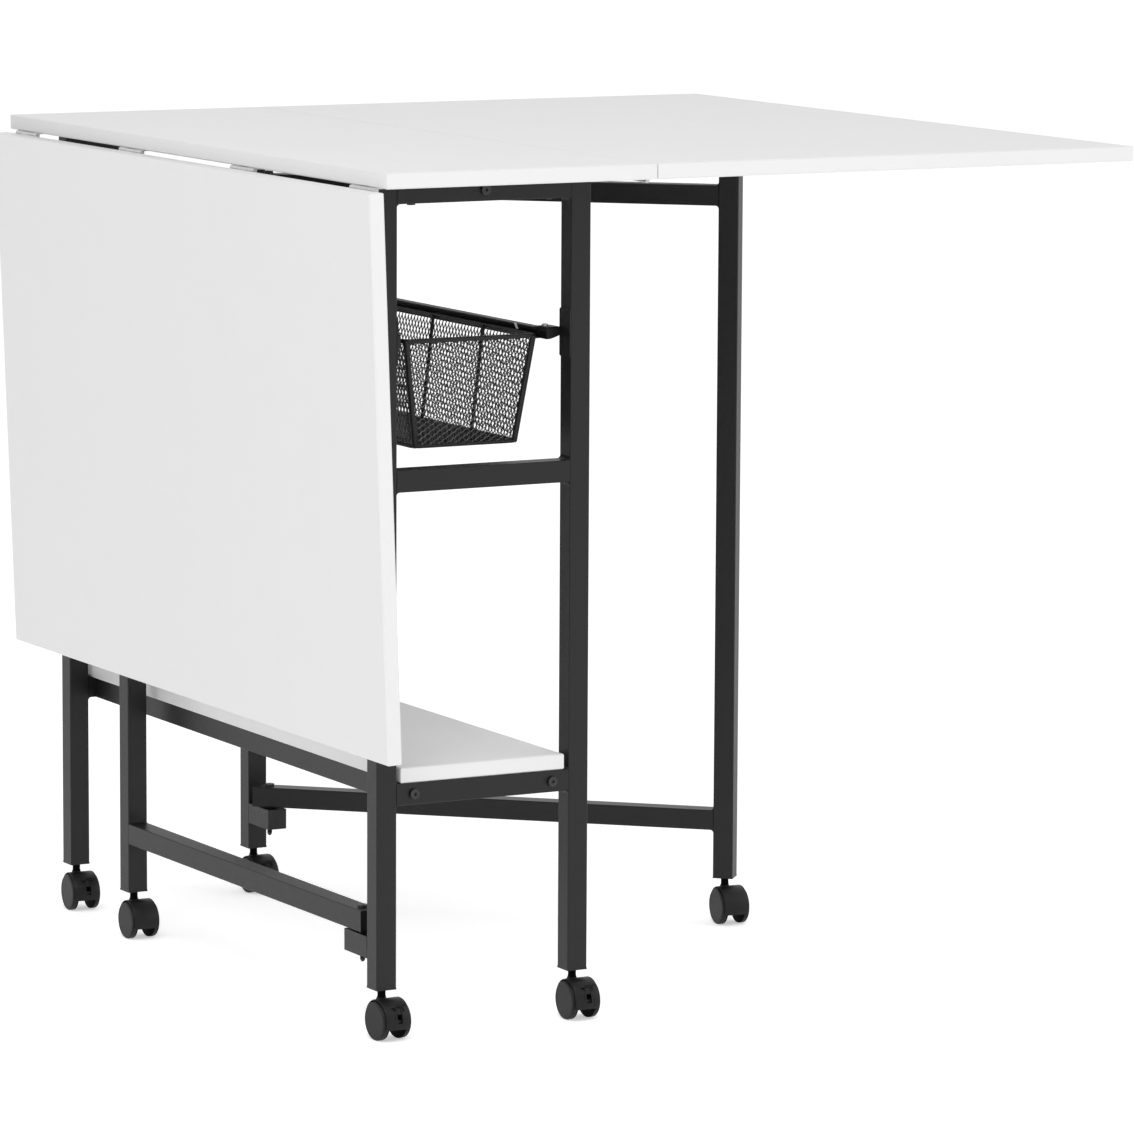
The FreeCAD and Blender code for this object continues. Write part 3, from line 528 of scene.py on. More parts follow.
def make_bands():
    for label, body in (("top_board", "root"), ("shelf_board", "root"), ("leaf_right_board", "leaf_right")):
        name = label.replace("board", "edge_band")
        piece(name, edge_band(*box_of(label)), body, "white_laminate", material=EDGE_BAND)
    low_corner, high_corner = LEAF_LOW - PIN_RIGHT, LEAF_HIGH - PIN_RIGHT
    mirrored = (Vector((-high_corner.x, low_corner.y, low_corner.z)),
                Vector((-low_corner.x, high_corner.y, high_corner.z)))
    band = placed(edge_band(*mirrored), HANGING)
    piece("leaf_left_edge_band", band, "leaf_left", "white_laminate", material=EDGE_BAND)


# Hinge screws

HINGES = 4
HINGE_END = 28 * MM
HINGE_PLATE = 1.2 * MM
SCREW_ROWS = ((-20 * MM, 11 * MM), (0, 18 * MM), (20 * MM, 11 * MM))
SCREW_STEPS = 16
SCREW_PROFILE = ((0.2, 2.7), (-0.25, 2.55), (-0.5, 1.9))
CROSS_ARMS = 4
CROSS_TOP = -0.6 * MM
CROSS_FLOOR = 0.1 * MM
CROSS_WIDE = 1.45 * MM
CROSS_NARROW = 0.55 * MM
CROSS_FLOOR_SHARE = 0.45


def screw_head():
    """A raised countersunk head, face along -X, with a cross recess."""
    turns = [math.tau * i / SCREW_STEPS for i in range(SCREW_STEPS)]
    rings = []
    for depth, radius in in_mm(SCREW_PROFILE):
        rings.append([(depth, radius * math.cos(a), radius * math.sin(a)) for a in turns])
    cross = []
    for i, a in enumerate(turns):
        radius = CROSS_NARROW if i % (SCREW_STEPS // CROSS_ARMS) else CROSS_WIDE
        cross.append((CROSS_TOP, radius * math.cos(a), radius * math.sin(a)))
    rings.append(cross)
    rings.append([(CROSS_FLOOR, y * CROSS_FLOOR_SHARE, z * CROSS_FLOOR_SHARE) for x, y, z in cross])
    return skin(rings)


def hinge_spots(sign):
    """Screw places on a raised hinge plate, measured from the pin; sign is the plate's side."""
    low_corner, high_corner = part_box("hinge_plates_right")
    pin_height = JOINTS["leaf_right_hinge"]["pos_m"][2]
    first = low_corner[1] + HINGE_END
    last = high_corner[1] - HINGE_END
    under = high_corner[2] - HINGE_PLATE - pin_height
    spots = []
    for i in range(HINGES):
        middle = first + (last - first) * i / (HINGES - 1)
        for along, across in SCREW_ROWS:
            place = Matrix.Translation((sign * across, middle + along, under))
            turn = Matrix.Rotation(random.uniform(0, math.pi), 4, "Z")
            spots.append(place @ turn @ Matrix.Rotation(-math.pi / 2, 4, "Y"))
    return spots


def make_hinge_screws():
    head = screw_head()
    fixed = []
    for pin, sign in ((PIN_LEFT, 1), (PIN_RIGHT, -1)):
        fixed += [Matrix.Translation(pin) @ spot for spot in hinge_spots(sign)]
    repeated("hinge_screws_table", head, fixed, "root", "zinc_plate")
    for side, sign, leaf in (("left", -1, HANGING), ("right", 1, RAISED)):
        spots = [leaf @ spot for spot in hinge_spots(sign)]
        repeated(f"hinge_screws_leaf_{side}", head, spots, f"leaf_{side}", "zinc_plate")


# Weld fillets: concave runs of weld in the corners between rails and posts

WELD_RADIUS = 4.5 * MM
WELD_SINK = 0.2 * MM
WELD_HALF_WIDTH = 10.1 * MM
WELD_STEPS = 24
WELD_TURNS = 6
WELD_END_SHARE = 0.18
WELD_END_POWER = 6
WELD_RIPPLE_SHARES = (0.96, 1.02)
WELD_WAYS = {"top": (-1,), "mid": (-1, 1), "bottom": (-1, 1)}


def fillet(corner, way_out, way_up):
    """A slightly rippled concave fillet in a corner, along the rail and along the post."""
    side = way_out.cross(way_up)
    rings = []
    for i in range(WELD_STEPS + 1):
        share = 2 * i / WELD_STEPS - 1
        fade = 1 - WELD_END_SHARE * abs(share) ** WELD_END_POWER
        radius = WELD_RADIUS * fade * random.uniform(*WELD_RIPPLE_SHARES)
        start = corner + side * (share * WELD_HALF_WIDTH)
        ring = [start - (way_out + way_up) * WELD_SINK, start + way_up * radius - way_out * WELD_SINK]
        for turn in range(WELD_TURNS + 1):
            a = math.pi / 2 * turn / WELD_TURNS
            out, up = radius * (1 - math.cos(a)), radius * (1 - math.sin(a))
            ring.append(start + way_out * out + way_up * up)
        ring.append(start + way_out * radius - way_up * WELD_SINK)
        rings.append(ring)
    return skin(rings)


def make_welds():
    fillets = []
    for end in ("front", "back"):
        for level, ways in WELD_WAYS.items():
            low_corner, high_corner = box_of(f"{level}_rail_{end}")
            y = (low_corner.y + high_corner.y) / 2
            for x, out in ((low_corner.x, X_AXIS), (high_corner.x, -X_AXIS)):
                for way in ways:
                    z = high_corner.z if way > 0 else low_corner.z
                    fillets.append(fillet(Vector((x, y, z)), out, Z_AXIS * way))
    piece("frame_weld_fillets", merged(fillets), "root", "black_powder_coat")
    for side in ("left", "right"):
        pivot = Vector(JOINTS[f"gate_{side}_pivot"]["pos_m"])
        caster = Vector(JOINTS[f"caster_gate_{side}_swivel_joint"]["pos_m"])
        along = Vector((caster.x - pivot.x, caster.y - pivot.y, 0)).normalized()
        fillets = []
        for level in ("lower", "upper"):
            low_corner, high_corner = box_of(f"gate_{side}_{level}_rail")
            half = (high_corner.z - low_corner.z) / 2
            for z, way in ((low_corner.z, -1), (high_corner.z, 1)):
                corner = Vector((caster.x, caster.y, z)) - along * half
                fillets.append(fillet(corner, -along, Z_AXIS * way))
        piece(f"gate_{side}_weld_fillets", merged(fillets), f"gate_{side}", "black_powder_coat")


# Basket wires

RIM_WIRE = 2.5 * MM
CAGE_WIRE = 1.9 * MM
CORNER_WIRE = 3.2 * MM
RIM_BEND = 9 * MM
CAGE_BEND = 5 * MM
BAYS = 4
SIDE_SLOPE = 15.7 * MM
END_SLOPE = 11 * MM
CAGE_INSIDE_RIM = 3 * MM
RIM_SIDES = 16


class Basket:
    """The basket's own sizes, read from its box."""

    def __init__(self):
        low_corner, high_corner = box_of("basket_frame")
        self.x = (low_corner.x + high_corner.x) / 2
        self.half_top = (high_corner.x - low_corner.x) / 2 - RIM_WIRE
        self.half_low = self.half_top - SIDE_SLOPE
        self.half_cage = self.half_top - CAGE_INSIDE_RIM
        self.front = low_corner.y + RIM_WIRE
        self.back = high_corner.y - RIM_WIRE
        self.front_low = self.front + END_SLOPE
        self.back_low = self.back - END_SLOPE
        self.top = high_corner.z - RIM_WIRE
        self.low = low_corner.z + CAGE_WIRE


def rectangle_path(x, half_x, front, back, z):
    corners = [(x - half_x, front, z), (x + half_x, front, z), (x + half_x, back, z), (x - half_x, back, z)]
    return bent_path(corners, RIM_BEND, closed=True)


def make_basket_wires(b):
    """Rim and floor wires, a bent wire across at each bay and a wire down each corner."""
    rim = rectangle_path(b.x, b.half_top, b.front, b.back, b.top)
    floor = rectangle_path(b.x, b.half_low, b.front_low, b.back_low, b.low)
    shapes = [wire(rim, RIM_WIRE, closed=True, sides=RIM_SIDES), wire(floor, CAGE_WIRE, closed=True)]
    for i in range(1, BAYS):
        y = b.front + i * (b.back - b.front) / BAYS
        corners = [(b.x - b.half_cage, y, b.top), (b.x - b.half_low, y, b.low),
                   (b.x + b.half_low, y, b.low), (b.x + b.half_cage, y, b.top)]
        shapes.append(wire(bent_path(corners, CAGE_BEND), CAGE_WIRE))
    inset = RIM_BEND * (1 - math.sqrt(0.5))
    for sign in (-1, 1):
        for y_top, y_low, into in ((b.front, b.front_low, 1), (b.back, b.back_low, -1)):
            top = Vector((b.x + sign * (b.half_top - inset), y_top + into * inset, b.top))
            foot = Vector((b.x + sign * (b.half_low - inset), y_low + into * inset, b.low))
            shapes.append(wire([top, foot], CORNER_WIRE))
    piece("basket_wires", merged(shapes), "basket", "basket_wire", ("basket_frame",))


# Basket mesh: expanded metal, its zigzag strands meeting at their kinks

STRAND_WIDTH = 1.22 * MM
STRAND_THICKNESS = 0.6 * MM
STRAND_TILT = 1.0
DIAMOND_LONG = 12.4 * MM
DIAMOND_SHORT = 6.2 * MM
SIDE_LONG = 11.6 * MM
SIDE_SHORT = 7.3 * MM
BOND_SHARE = 1.2 * MM / DIAMOND_LONG
MESH_BEND = 8 * MM
MESH_INSIDE_RIM = 1.5 * MM
MESH_INSIDE_FLOOR = 0.6 * MM
MESH_WALLS = ("front", "right", "back", "left")


def on_face(side, half_x, front, back, share):
    """A place on one side of a rounded rectangle, between the middles of its two corners."""
    half = (half_x if side % 2 == 0 else (back - front) / 2) - MESH_BEND
    run = (share - 0.5) * (2 * half + MESH_BEND * math.pi / 2)
    turn = max(0, abs(run) - half) / MESH_BEND
    along = math.copysign(min(abs(run), half) + MESH_BEND * math.sin(turn), run)
    into = MESH_BEND * (1 - math.cos(turn))
    middle = (front + back) / 2
    places = ((along, front + into), (half_x - into, middle + along), (-along, back - into),
              (into - half_x, middle - along))
    return places[side]


def zigzag(count, phase, bond_share):
    """Kinks of one strand: shares of its length and of its row's height, clipped at both ends."""
    ends = (-bond_share, bond_share) if bond_share else (0,)
    for i in range(-1, count):
        for offset, rise in ((0, 1), (0.5, 0)):
            for end in ends:
                share = (i + phase + offset + end) / count
                if -0.5 / count < share < 1 + 0.5 / count:
                    yield min(max(share, 0), 1), rise


def lattice(rows, count, bond_share, place):
    """Points and edges of all strands; place turns the shares along and across into a point."""
    points, edges = [], []
    for row in range(rows):
        first = len(points)
        for share, rise in zigzag(count, row % 2 / 2, bond_share):
            points.append(place(share, (row + rise) / rows))
        edges += [(i, i + 1) for i in range(first, len(points) - 1)]
    return points, edges


def strand_piece(name, points, edges, width, thickness, tilt):
    """A lattice as one piece; untilted, its thickness is level and square to each line."""
    lines = bpy.data.meshes.new("lines")
    lines.from_pydata(points, edges, [])
    paint = MATERIALS["basket_mesh"]
    values = {"Width": width, "Thickness": thickness, "Tilt": tilt, "Material": paint}
    mesh = grown(STRANDS, lines, values)
    finish_mesh(mesh, paint, outward=False)
    attach(name, mesh, "basket", ("basket_mesh",))


def make_basket_mesh(b):
    """The diamonds lie along front and back, stand on the long sides and run back on the floor."""
    span = b.top - b.low
    half_low = b.half_low - MESH_INSIDE_FLOOR
    half_top = b.half_top - MESH_INSIDE_RIM
    inset_low = END_SLOPE + MESH_INSIDE_FLOOR

    def wall_place(side, share, height):
        half_x = half_low * (1 - height) + half_top * height
        inset = inset_low * (1 - height) + MESH_INSIDE_RIM * height
        x, y = on_face(side, half_x, b.front + inset, b.back - inset, share)
        return b.x + x, y, b.low + span * height

    for side, name in enumerate(MESH_WALLS):
        if side % 2 == 0:
            rows = round(span / (DIAMOND_SHORT / 2))
            count = round(2 * b.half_top / DIAMOND_LONG)
            points, edges = lattice(rows, count, BOND_SHARE,
                                    lambda along, across: wall_place(side, along, across))
            section = (STRAND_WIDTH, STRAND_THICKNESS)
        else:
            rows = round((b.back - b.front) / (SIDE_SHORT / 2))
            count = round(span / SIDE_LONG)
            points, edges = lattice(rows, count, 0, lambda along, across: wall_place(side, across, along))
            section = (STRAND_THICKNESS, STRAND_WIDTH)
        strand_piece(f"basket_wall_{name}", points, edges, *section, STRAND_TILT)

    front = b.front_low + MESH_INSIDE_FLOOR
    back = b.back_low - MESH_INSIDE_FLOOR

    def floor_place(along, across):
        return b.x + half_low * (2 * across - 1), front + (back - front) * along, b.low

    rows = round(2 * half_low / (DIAMOND_SHORT / 2))
    count = round((back - front) / DIAMOND_LONG)
    points, edges = lattice(rows, count, BOND_SHARE, floor_place)
    strand_piece("basket_floor_lattice", points, edges, STRAND_WIDTH, STRAND_THICKNESS, 0)


# Basket runners: channels with a plate on each post and a flange between, screwed at both ends

RUNNER_DEPTH = 10 * MM
RUNNER_HEIGHT = 12.4 * MM
RUNNER_SHEET = 1.0 * MM
RUNNER_DROP = 12 * MM
RUNNER_SOFT = 0.4 * MM
LIP_BACK = 14 * MM
LIP_OVERLAP = 1 * MM
TAB_LENGTH = 22 * MM
PLATE_SHEET = 1.2 * MM
PLATE_BELOW = 17 * MM
PLATE_ABOVE = 19.8 * MM
PLATE_BEND = 2 * MM
PLATE_STEPS = 4
TUBE = 22.6 * MM
FLANGE_RISE = 4.2 * MM
FLANGE_STEPS = 8
FLANGE_POWER = 1.6
HEAD_RADIUS = 3.9 * MM
HEAD_HEIGHT = 2.4 * MM
HEAD_BACK = 14 * MM
HEAD_OUT = 4.5 * MM
HEAD_SHARES = ((0, 0), (0, 1), (0.45, 1), (0.8, 0.86), (1, 0.6), (1, 0.42), (0.6, 0.36), (0.6, 0))
STOP_BACK = 50 * MM
STOP_OUTLINE = ((0, 0.3), (3.4, 0.3), (-1.6, -5.2), (-5.0, -5.2))
STOP_SIDES = (-0.9 * MM, 0.1 * MM)


def channel(inner, web, low_z, front, back):
    """A channel along Y, open towards the basket; its outer bends are chamfered."""
    way = 1 if web > inner else -1
    inside = web - RUNNER_SHEET * way
    high_z = low_z + RUNNER_HEIGHT
    chamfer = web - RUNNER_SOFT * way
    outside = [(chamfer, low_z), (web, low_z + RUNNER_SOFT), (web, high_z - RUNNER_SOFT), (chamfer, high_z)]
    sheet = [(inside, low_z), *outside, (inside, high_z)]
    lower, upper = low_z + RUNNER_SHEET, high_z - RUNNER_SHEET
    section = [(inner, low_z), *outside, (inner, high_z), (inner, upper), (inside, upper), (inside, lower),
               (inner, lower)]
    shapes = [skin([[(x, y, z) for x, z in section] for y in (front + LIP_BACK, back - LIP_BACK)])]
    for reach in ((front, front + LIP_BACK + LIP_OVERLAP), (back - LIP_BACK - LIP_OVERLAP, back)):
        shapes.append(skin([[(x, y, z) for x, z in sheet] for y in reach]))
    return merged(shapes)


def flange(web, face, low_z, y, thick):
    """The sheet between channel and post; its lower edge rises in a curve to the post."""
    high_z = low_z + RUNNER_HEIGHT
    lower = []
    for i in range(FLANGE_STEPS + 1):
        share = i / FLANGE_STEPS
        lower.append((web + (face - web) * share, low_z + FLANGE_RISE * share ** FLANGE_POWER))
    outline = [*lower, (face, high_z), (web, high_z)]
    return skin([[(x, y, z) for x, z in outline], [(x, y + thick, z) for x, z in outline]])


def plate(face, way, low_z, front, back):
    """The sheet on the post's inner side, with rounded corners."""
    low_y, high_y = front + PLATE_BEND, back - PLATE_BEND
    bottom = low_z - PLATE_BELOW + PLATE_BEND
    top = low_z + PLATE_ABOVE + RUNNER_HEIGHT - PLATE_BEND
    outline = []
    for y, z, start in ((low_y, bottom, 180), (high_y, bottom, 270), (high_y, top, 0), (low_y, top, 90)):
        for step in range(PLATE_STEPS + 1):
            a = math.radians(start + 90 * step / PLATE_STEPS)
            outline.append((y + PLATE_BEND * math.cos(a), z + PLATE_BEND * math.sin(a)))
    return skin([[(x, y, z) for y, z in outline] for x in (face, face - way * PLATE_SHEET)])


def pan_head():
    """A low pan head standing on the level, with a round recess in its top."""
    return upright([(HEAD_HEIGHT * z, HEAD_RADIUS * r) for z, r in HEAD_SHARES])


def make_runners():
    for side, way in (("left", -1), ("right", 1)):
        low_corner, high_corner = box_of(f"basket_runner_{side}")
        inner, face = (low_corner.x, high_corner.x) if way > 0 else (high_corner.x, low_corner.x)
        web = inner + RUNNER_DEPTH * way
        low_z = low_corner.z + RUNNER_DROP
        high_z = low_z + RUNNER_HEIGHT
        front, back = low_corner.y + TUBE, high_corner.y - TUBE
        near, far = min(web, face), max(web, face)
        parts = [channel(inner, web, low_z, front, back), plate(face, way, low_z, low_corner.y, front),
                 plate(face, way, low_z, back, high_corner.y)]
        heads = []
        for y, into in ((front, 1), (back, -1)):
            parts.append(flange(web, face, low_z, y, into * PLATE_SHEET))
            tab_low, tab_high = sorted((y, y + into * TAB_LENGTH))
            parts.append(block((near, tab_low, high_z - PLATE_SHEET), (far, tab_high, high_z)))
            spot = Matrix.Translation((web + way * HEAD_OUT, y + into * HEAD_BACK, high_z))
            heads.append(placed(pan_head(), spot))
        piece(f"basket_runner_{side}_channel", merged(parts), "root", "black_powder_coat",
              (f"basket_runner_{side}",))
        piece(f"basket_runner_{side}_screws", merged(heads), "root", "zinc_plate")
        stop = [(front + STOP_BACK + y, high_z + z) for y, z in in_mm(STOP_OUTLINE)]
        strip = skin([[(inner + way * x, y, z) for y, z in stop] for x in STOP_SIDES])
        piece(f"basket_runner_{side}_stop", strip, "root", "white_laminate", material=EDGE_BAND)


# Ends of the pivot bolts under the stubs

THREADS = 7
THREAD_PITCH = 1 * MM
THREAD_CREST = 2.9 * MM
THREAD_ROOT = 2.5 * MM
BOLT_SUNK = -1 * MM
BOLT_TIP = ((7.4, 2.7), (9, 1.9), (9.8, 1.1), (9.8, 0))


def make_bolt_ends():
    profile = [(BOLT_SUNK, 0), (BOLT_SUNK, THREAD_CREST)]
    for turn in range(THREADS):
        profile.append((turn * THREAD_PITCH, THREAD_CREST))
        profile.append(((turn + 0.5) * THREAD_PITCH, THREAD_ROOT))
    profile += in_mm(BOLT_TIP)
    ends = []
    for side in ("left", "right"):
        stub_low, stub_high = box_of(f"hinge_stubs_{side}")
        pivot = Vector(JOINTS[f"gate_{side}_pivot"]["pos_m"])
        for z in (stub_low.z, stub_high.z - TUBE):
            place = Matrix.Translation((pivot.x, pivot.y, z)) @ Matrix.Rotation(math.pi / 2, 4, "Y")
            ends.append(placed(lathe(profile, SMALL_STEPS), place))
    piece("pivot_bolt_ends", merged(ends), "root", "blackened_bolt")


# Casters: each is drawn on the floor under its stem, with X along its axle.
# Numbers without MM are millimetres and degrees.

TRAIL = 13 * MM
WHEEL_RADIUS = 20 * MM
ON_AXLE = Matrix.Translation((0, -TRAIL, WHEEL_RADIUS))
INNER_PROFILE = ((9.1, 3.0), (9.1, 19.0), (9.5, 19.8), (10.3, 20.0), (11.0, 20.0), (11.0, 3.0))
OUTER_PROFILE = ((10.9, 3.0), (10.9, 20.0), (13.9, 20.0), (14.8, 19.95), (15.6, 19.7), (16.1, 19.2),
                 (16.3, 18.5), (16.3, 17.7), (16.1, 17.4), (16.1, 17.0), (16.3, 16.7), (16.3, 7.0), (16.3, 0))
SHAFT = ((-9.2, 3), (9.2, 3))
HOOD_RADIUS = 22.3 * MM
HOOD_HALF = 14.3 * MM
HOOD_SOFT = 0.9 * MM
HOOD_SOFT_SHARE = 0.3
HOOD_FLOOR = 13 * MM
HOOD_STEPS = 40
HOOD_HOLLOW = ((-7.2 * MM, -17 * MM, -30 * MM), (7.2 * MM, 17 * MM, 8 * MM))
WHEEL_ROOM = ((8.8, 21.4), (15.3, 21.4))
FLARE = ((20, 0), (20, 7.2), (36.0, 7.2), (38.2, 6.6), (40.0, 5.4), (41.2, 4.8), (41.2, 0))
NECK = ((40.5, 0), (40.5, 4.7), (42, 4.5), (43.5, 4.2), (49.8, 4.2), (49.8, 3.8), (69, 3.8), (70, 3.2),
        (70, 0))

# Arcs on a braked hood: inner and outer radius, first and last angle, left and right side
HOOD_CUTS = ((12, 26, -1.5, 44.5, -1.3, 4.3), (20.8, 26, 33, 43, -6.4, -1.9), (21.3, 26, 30, 43, 4.9, 7.6))
HOOD_RIDGES = ((12, 20, -3, 8.6, -1.3, 4.3), (21.5, 22.9, 47.5, 52, 1.5, 11.6),
               (21.5, 22.8, 9, 25, -3.6, -1.6))

# The brake's pad: angle, inner radius and how far the outer radius falls short, from its lower end up
PAD_ROWS = ((22.6, 20.4, 0.9), (23.6, 20.4, 0.2), (25.6, 20.4, 0), (31.2, 20.4, 0),
            (31.3, 12.3, 0), (40.6, 12.3, 0), (42.6, 12.3, 0.2), (43.6, 12.3, 0.9))
PAD_LEFT = -1.0 * MM
PAD_RIGHT = 4.0 * MM
PAD_RADIUS = 22.4 * MM
PAD_SOFT = 0.4 * MM


def caster_stand(name):
    """The caster's own frame: on the floor under its stem, X along its axle."""
    stem = JOINTS[f"caster_{name}_swivel_joint"]["pos_m"]
    axle = JOINTS[f"caster_{name}_axle"]["axis"]
    turn = math.atan2(axle[1], axle[0])
    return Matrix.Translation((stem[0], stem[1], 0)) @ Matrix.Rotation(turn, 4, "Z")


def both_sides(profile):
    """A lathe and its mirror image across the caster's middle."""
    return merged([lathe([(way * x, r) for x, r in in_mm(profile)]) for way in (-1, 1)])


def hood_outline(radius, floor):
    """Points of the hood seen from the side, round its axle, cut level at a height from the axle."""
    start = math.asin(floor / radius)
    end = math.pi - start
    turns = [start + (end - start) * i / HOOD_STEPS for i in range(HOOD_STEPS + 1)]
    return [(radius * math.cos(a), radius * math.sin(a)) for a in turns]


def hood_body():
    """The hood's solid block with softened side edges."""
    half = HOOD_HALF
    soft = HOOD_SOFT
    less = soft * HOOD_SOFT_SHARE
    rings = []
    for x, short in ((-half, soft), (-half + less, less), (-half + soft, 0),
                     (half - soft, 0), (half - less, less), (half, soft)):
        outline = hood_outline(HOOD_RADIUS - short, HOOD_FLOOR - WHEEL_RADIUS)
        rings.append([(x, y, z) for y, z in outline])
    return skin(rings)


def arc_block(inner, outer, start, end, left, right, steps=10):
    """A block between two radii round the axle, from one angle to another on the -Y side."""
    section = in_mm(((left, inner), (right, inner), (right, outer), (left, outer)))
    rings = []
    for i in range(steps + 1):
        a = math.radians(start + (end - start) * i / steps)
        rings.append([(x, -r * math.cos(a), r * math.sin(a)) for x, r in section])
    return skin(rings)


def hood(braked):
    """A caster's hood round its axle, over both wheels' treads, with the flare for its neck."""
    room = in_mm(WHEEL_ROOM)
    tools = [block(*HOOD_HOLLOW), lathe(room), lathe([(-x, r) for x, r in room])]
    ridges = []
    if braked:
        tools += [arc_block(*row) for row in HOOD_CUTS]
        ridges = [arc_block(*row) for row in HOOD_RIDGES]
    shell = placed(merged([cut(hood_body(), tools), *ridges]), ON_AXLE)
    return merged([shell, upright(in_mm(FLARE))])


def brake_pad():
    """The brake's pad in the hood's slot, with its root under the upper half."""
    left, right, soft = PAD_LEFT, PAD_RIGHT, PAD_SOFT
    rings = []
    for angle, inner, less in PAD_ROWS:
        a = math.radians(angle)
        root = inner * MM
        outer = PAD_RADIUS - less * MM
        section = [(left, root), (right, root), (right, outer - soft), (right - soft, outer),
                   (left + soft, outer), (left, outer - soft)]
        rings.append([(x, -r * math.cos(a), r * math.sin(a)) for x, r in section])
    return placed(skin(rings), ON_AXLE)


def make_casters():
    names = [label[len("caster_"):-len("_axle")] for label in JOINTS if label.endswith("_axle")]
    outer = placed(both_sides(OUTER_PROFILE), ON_AXLE)
    shaft = lathe(in_mm(SHAFT), SMALL_STEPS)
    inner = placed(merged([both_sides(INNER_PROFILE), shaft]), ON_AXLE)
    neck = upright(in_mm(NECK))
    hoods = {False: hood(False), True: hood(True)}
    pad = brake_pad()
    for name in names:
        stand = caster_stand(name)
        braked = f"caster_{name}_brake_lever" in JOINTS
        swivel = f"caster_{name}_swivel"
        wheels = f"caster_{name}_wheels"
        brake = f"caster_{name}_brake"
        hood_label = f"caster_{name}_hood"
        piece(f"{wheels}_outer", placed(outer, stand), wheels, "caster_plastic", (wheels,))
        # The wheels' inner faces and shaft, and the neck, are in painted shade black: they lie in shade
        # between the wheels and under the hood.
        piece(f"{wheels}_inner", placed(inner, stand), wheels, "caster_plastic", (wheels,), PAINTED_SHADE_PLASTIC)
        piece(f"caster_{name}_neck", placed(neck, stand), swivel, "caster_plastic", (hood_label,),
              PAINTED_SHADE_PLASTIC)
        piece(f"{hood_label}_shell", placed(hoods[braked], stand), swivel, "caster_plastic", (hood_label,))
        if braked:
            piece(f"{brake}_pad", placed(pad, stand), brake, "caster_plastic", (brake,))


make_bands()
make_hinge_screws()
make_welds()
basket = Basket()
make_basket_wires(basket)
make_basket_mesh(basket)
make_runners()
make_bolt_ends()
make_casters()


# Stage: white floor and surroundings, soft light, camera

WHITE = (1.0, 1.0, 1.0, 1.0)
FLOOR_HALF = 30
FLOOR_COLOUR = (0.95, 0.95, 0.95, 1.0)
FLOOR_GLOW = 0.34
FLOOR_GLOW_SEEN = 0.47
SKY_LIGHT = 0.62
SKY_SEEN = 1.0
LAMP_TARGET = (0, 0, 0.5)
LAMP_SIZE = 3.0
LAMPS = (("key", (-1.9, -2.7, 4.0), 74), ("fill", (3.4, -2.4, 2.2), 25))
CAMERA_PLACE = (-3.1693, -5.8683, 1.3626)
YAW = 0.4987
PITCH = -0.1416
ROLL = 0.0052
FOCAL_PIXELS = 6168.1
PICTURE_PIXELS = 1134
SENSOR = 36
CLIP_END = 200


def make_floor():
    """A white floor that keeps the object's shadow and glows a little more for the camera."""
    mesh = mesh_of(([(-FLOOR_HALF, -FLOOR_HALF, 0), (FLOOR_HALF, -FLOOR_HALF, 0),
                     (FLOOR_HALF, FLOOR_HALF, 0), (-FLOOR_HALF, FLOOR_HALF, 0)], [(0, 1, 2, 3)]))
    floor = bpy.data.objects.new("floor", mesh)
    bpy.context.scene.collection.objects.link(floor)
    material = bpy.data.materials.new("floor")
    material.use_nodes = True
    tree = material.node_tree
    surface = next(n for n in tree.nodes if n.type == "BSDF_PRINCIPLED")
    surface.inputs["Base Color"].default_value = FLOOR_COLOUR
    surface.inputs["Roughness"].default_value = 1.0
    surface.inputs["Specular IOR Level"].default_value = 0.0
    surface.inputs["Emission Color"].default_value = WHITE
    path = tree.nodes.new("ShaderNodeLightPath")
    strength = tree.nodes.new("ShaderNodeMapRange")
    strength.inputs["To Min"].default_value = FLOOR_GLOW
    strength.inputs["To Max"].default_value = FLOOR_GLOW_SEEN
    tree.links.new(path.outputs["Is Camera Ray"], strength.inputs["Value"])
    tree.links.new(strength.outputs["Result"], surface.inputs["Emission Strength"])
    mesh.materials.append(material)


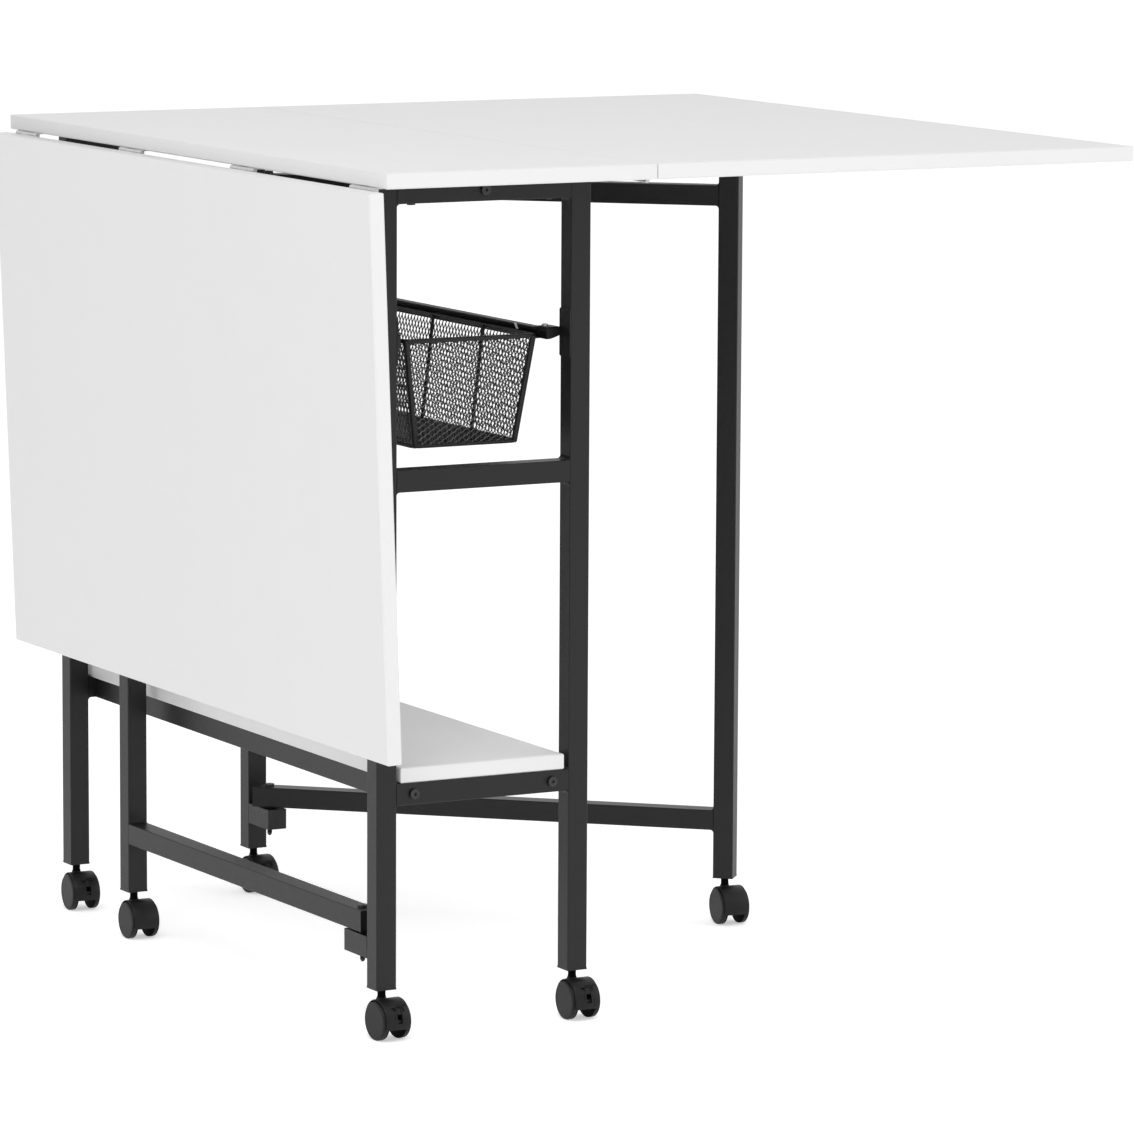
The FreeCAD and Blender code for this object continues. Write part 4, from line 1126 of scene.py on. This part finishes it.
def make_world():
    """White surroundings, full white where the camera or a reflection sees them."""
    world = bpy.data.worlds.new("studio")
    bpy.context.scene.world = world
    world.use_nodes = True
    tree = world.node_tree
    tree.nodes.clear()
    out = tree.nodes.new("ShaderNodeOutputWorld")
    mix = tree.nodes.new("ShaderNodeMixShader")
    path = tree.nodes.new("ShaderNodeLightPath")
    seen = tree.nodes.new("ShaderNodeBackground")
    light = tree.nodes.new("ShaderNodeBackground")
    for background, strength in ((seen, SKY_SEEN), (light, SKY_LIGHT)):
        background.inputs["Color"].default_value = WHITE
        background.inputs["Strength"].default_value = strength
    either = tree.nodes.new("ShaderNodeMath")
    either.operation = "MAXIMUM"
    tree.links.new(path.outputs["Is Camera Ray"], either.inputs[0])
    tree.links.new(path.outputs["Is Glossy Ray"], either.inputs[1])
    tree.links.new(either.outputs["Value"], mix.inputs["Fac"])
    tree.links.new(light.outputs["Background"], mix.inputs[1])
    tree.links.new(seen.outputs["Background"], mix.inputs[2])
    tree.links.new(mix.outputs["Shader"], out.inputs["Surface"])


def make_lamp(name, place, power):
    """A round area lamp that points at the table."""
    lamp = bpy.data.lights.new(name, "AREA")
    lamp.shape = "DISK"
    lamp.size = LAMP_SIZE
    lamp.energy = power
    thing = bpy.data.objects.new(name, lamp)
    thing.location = place
    thing.rotation_mode = "QUATERNION"
    thing.rotation_quaternion = (Vector(LAMP_TARGET) - Vector(place)).to_track_quat("-Z", "Y")
    bpy.context.scene.collection.objects.link(thing)


def make_camera():
    """The photograph's camera."""
    forward = Vector((math.sin(YAW) * math.cos(PITCH), math.cos(YAW) * math.cos(PITCH), math.sin(PITCH)))
    level = Vector((math.cos(YAW), -math.sin(YAW), 0))
    rise = level.cross(forward)
    right = level * math.cos(ROLL) + rise * math.sin(ROLL)
    up = rise * math.cos(ROLL) - level * math.sin(ROLL)
    camera = bpy.data.cameras.new("camera")
    camera.sensor_width = SENSOR
    camera.lens = SENSOR * FOCAL_PIXELS / PICTURE_PIXELS
    camera.clip_end = CLIP_END
    thing = bpy.data.objects.new("camera", camera)
    turn = Matrix((right, up, -forward)).transposed()
    thing.matrix_world = Matrix.Translation(CAMERA_PLACE) @ turn.to_4x4()
    bpy.context.scene.collection.objects.link(thing)
    bpy.context.scene.camera = thing


make_floor()
make_world()
for lamp_name, lamp_place, lamp_power in LAMPS:
    make_lamp(lamp_name, lamp_place, lamp_power)
make_camera()
bpy.context.scene.view_settings.view_transform = "Standard"
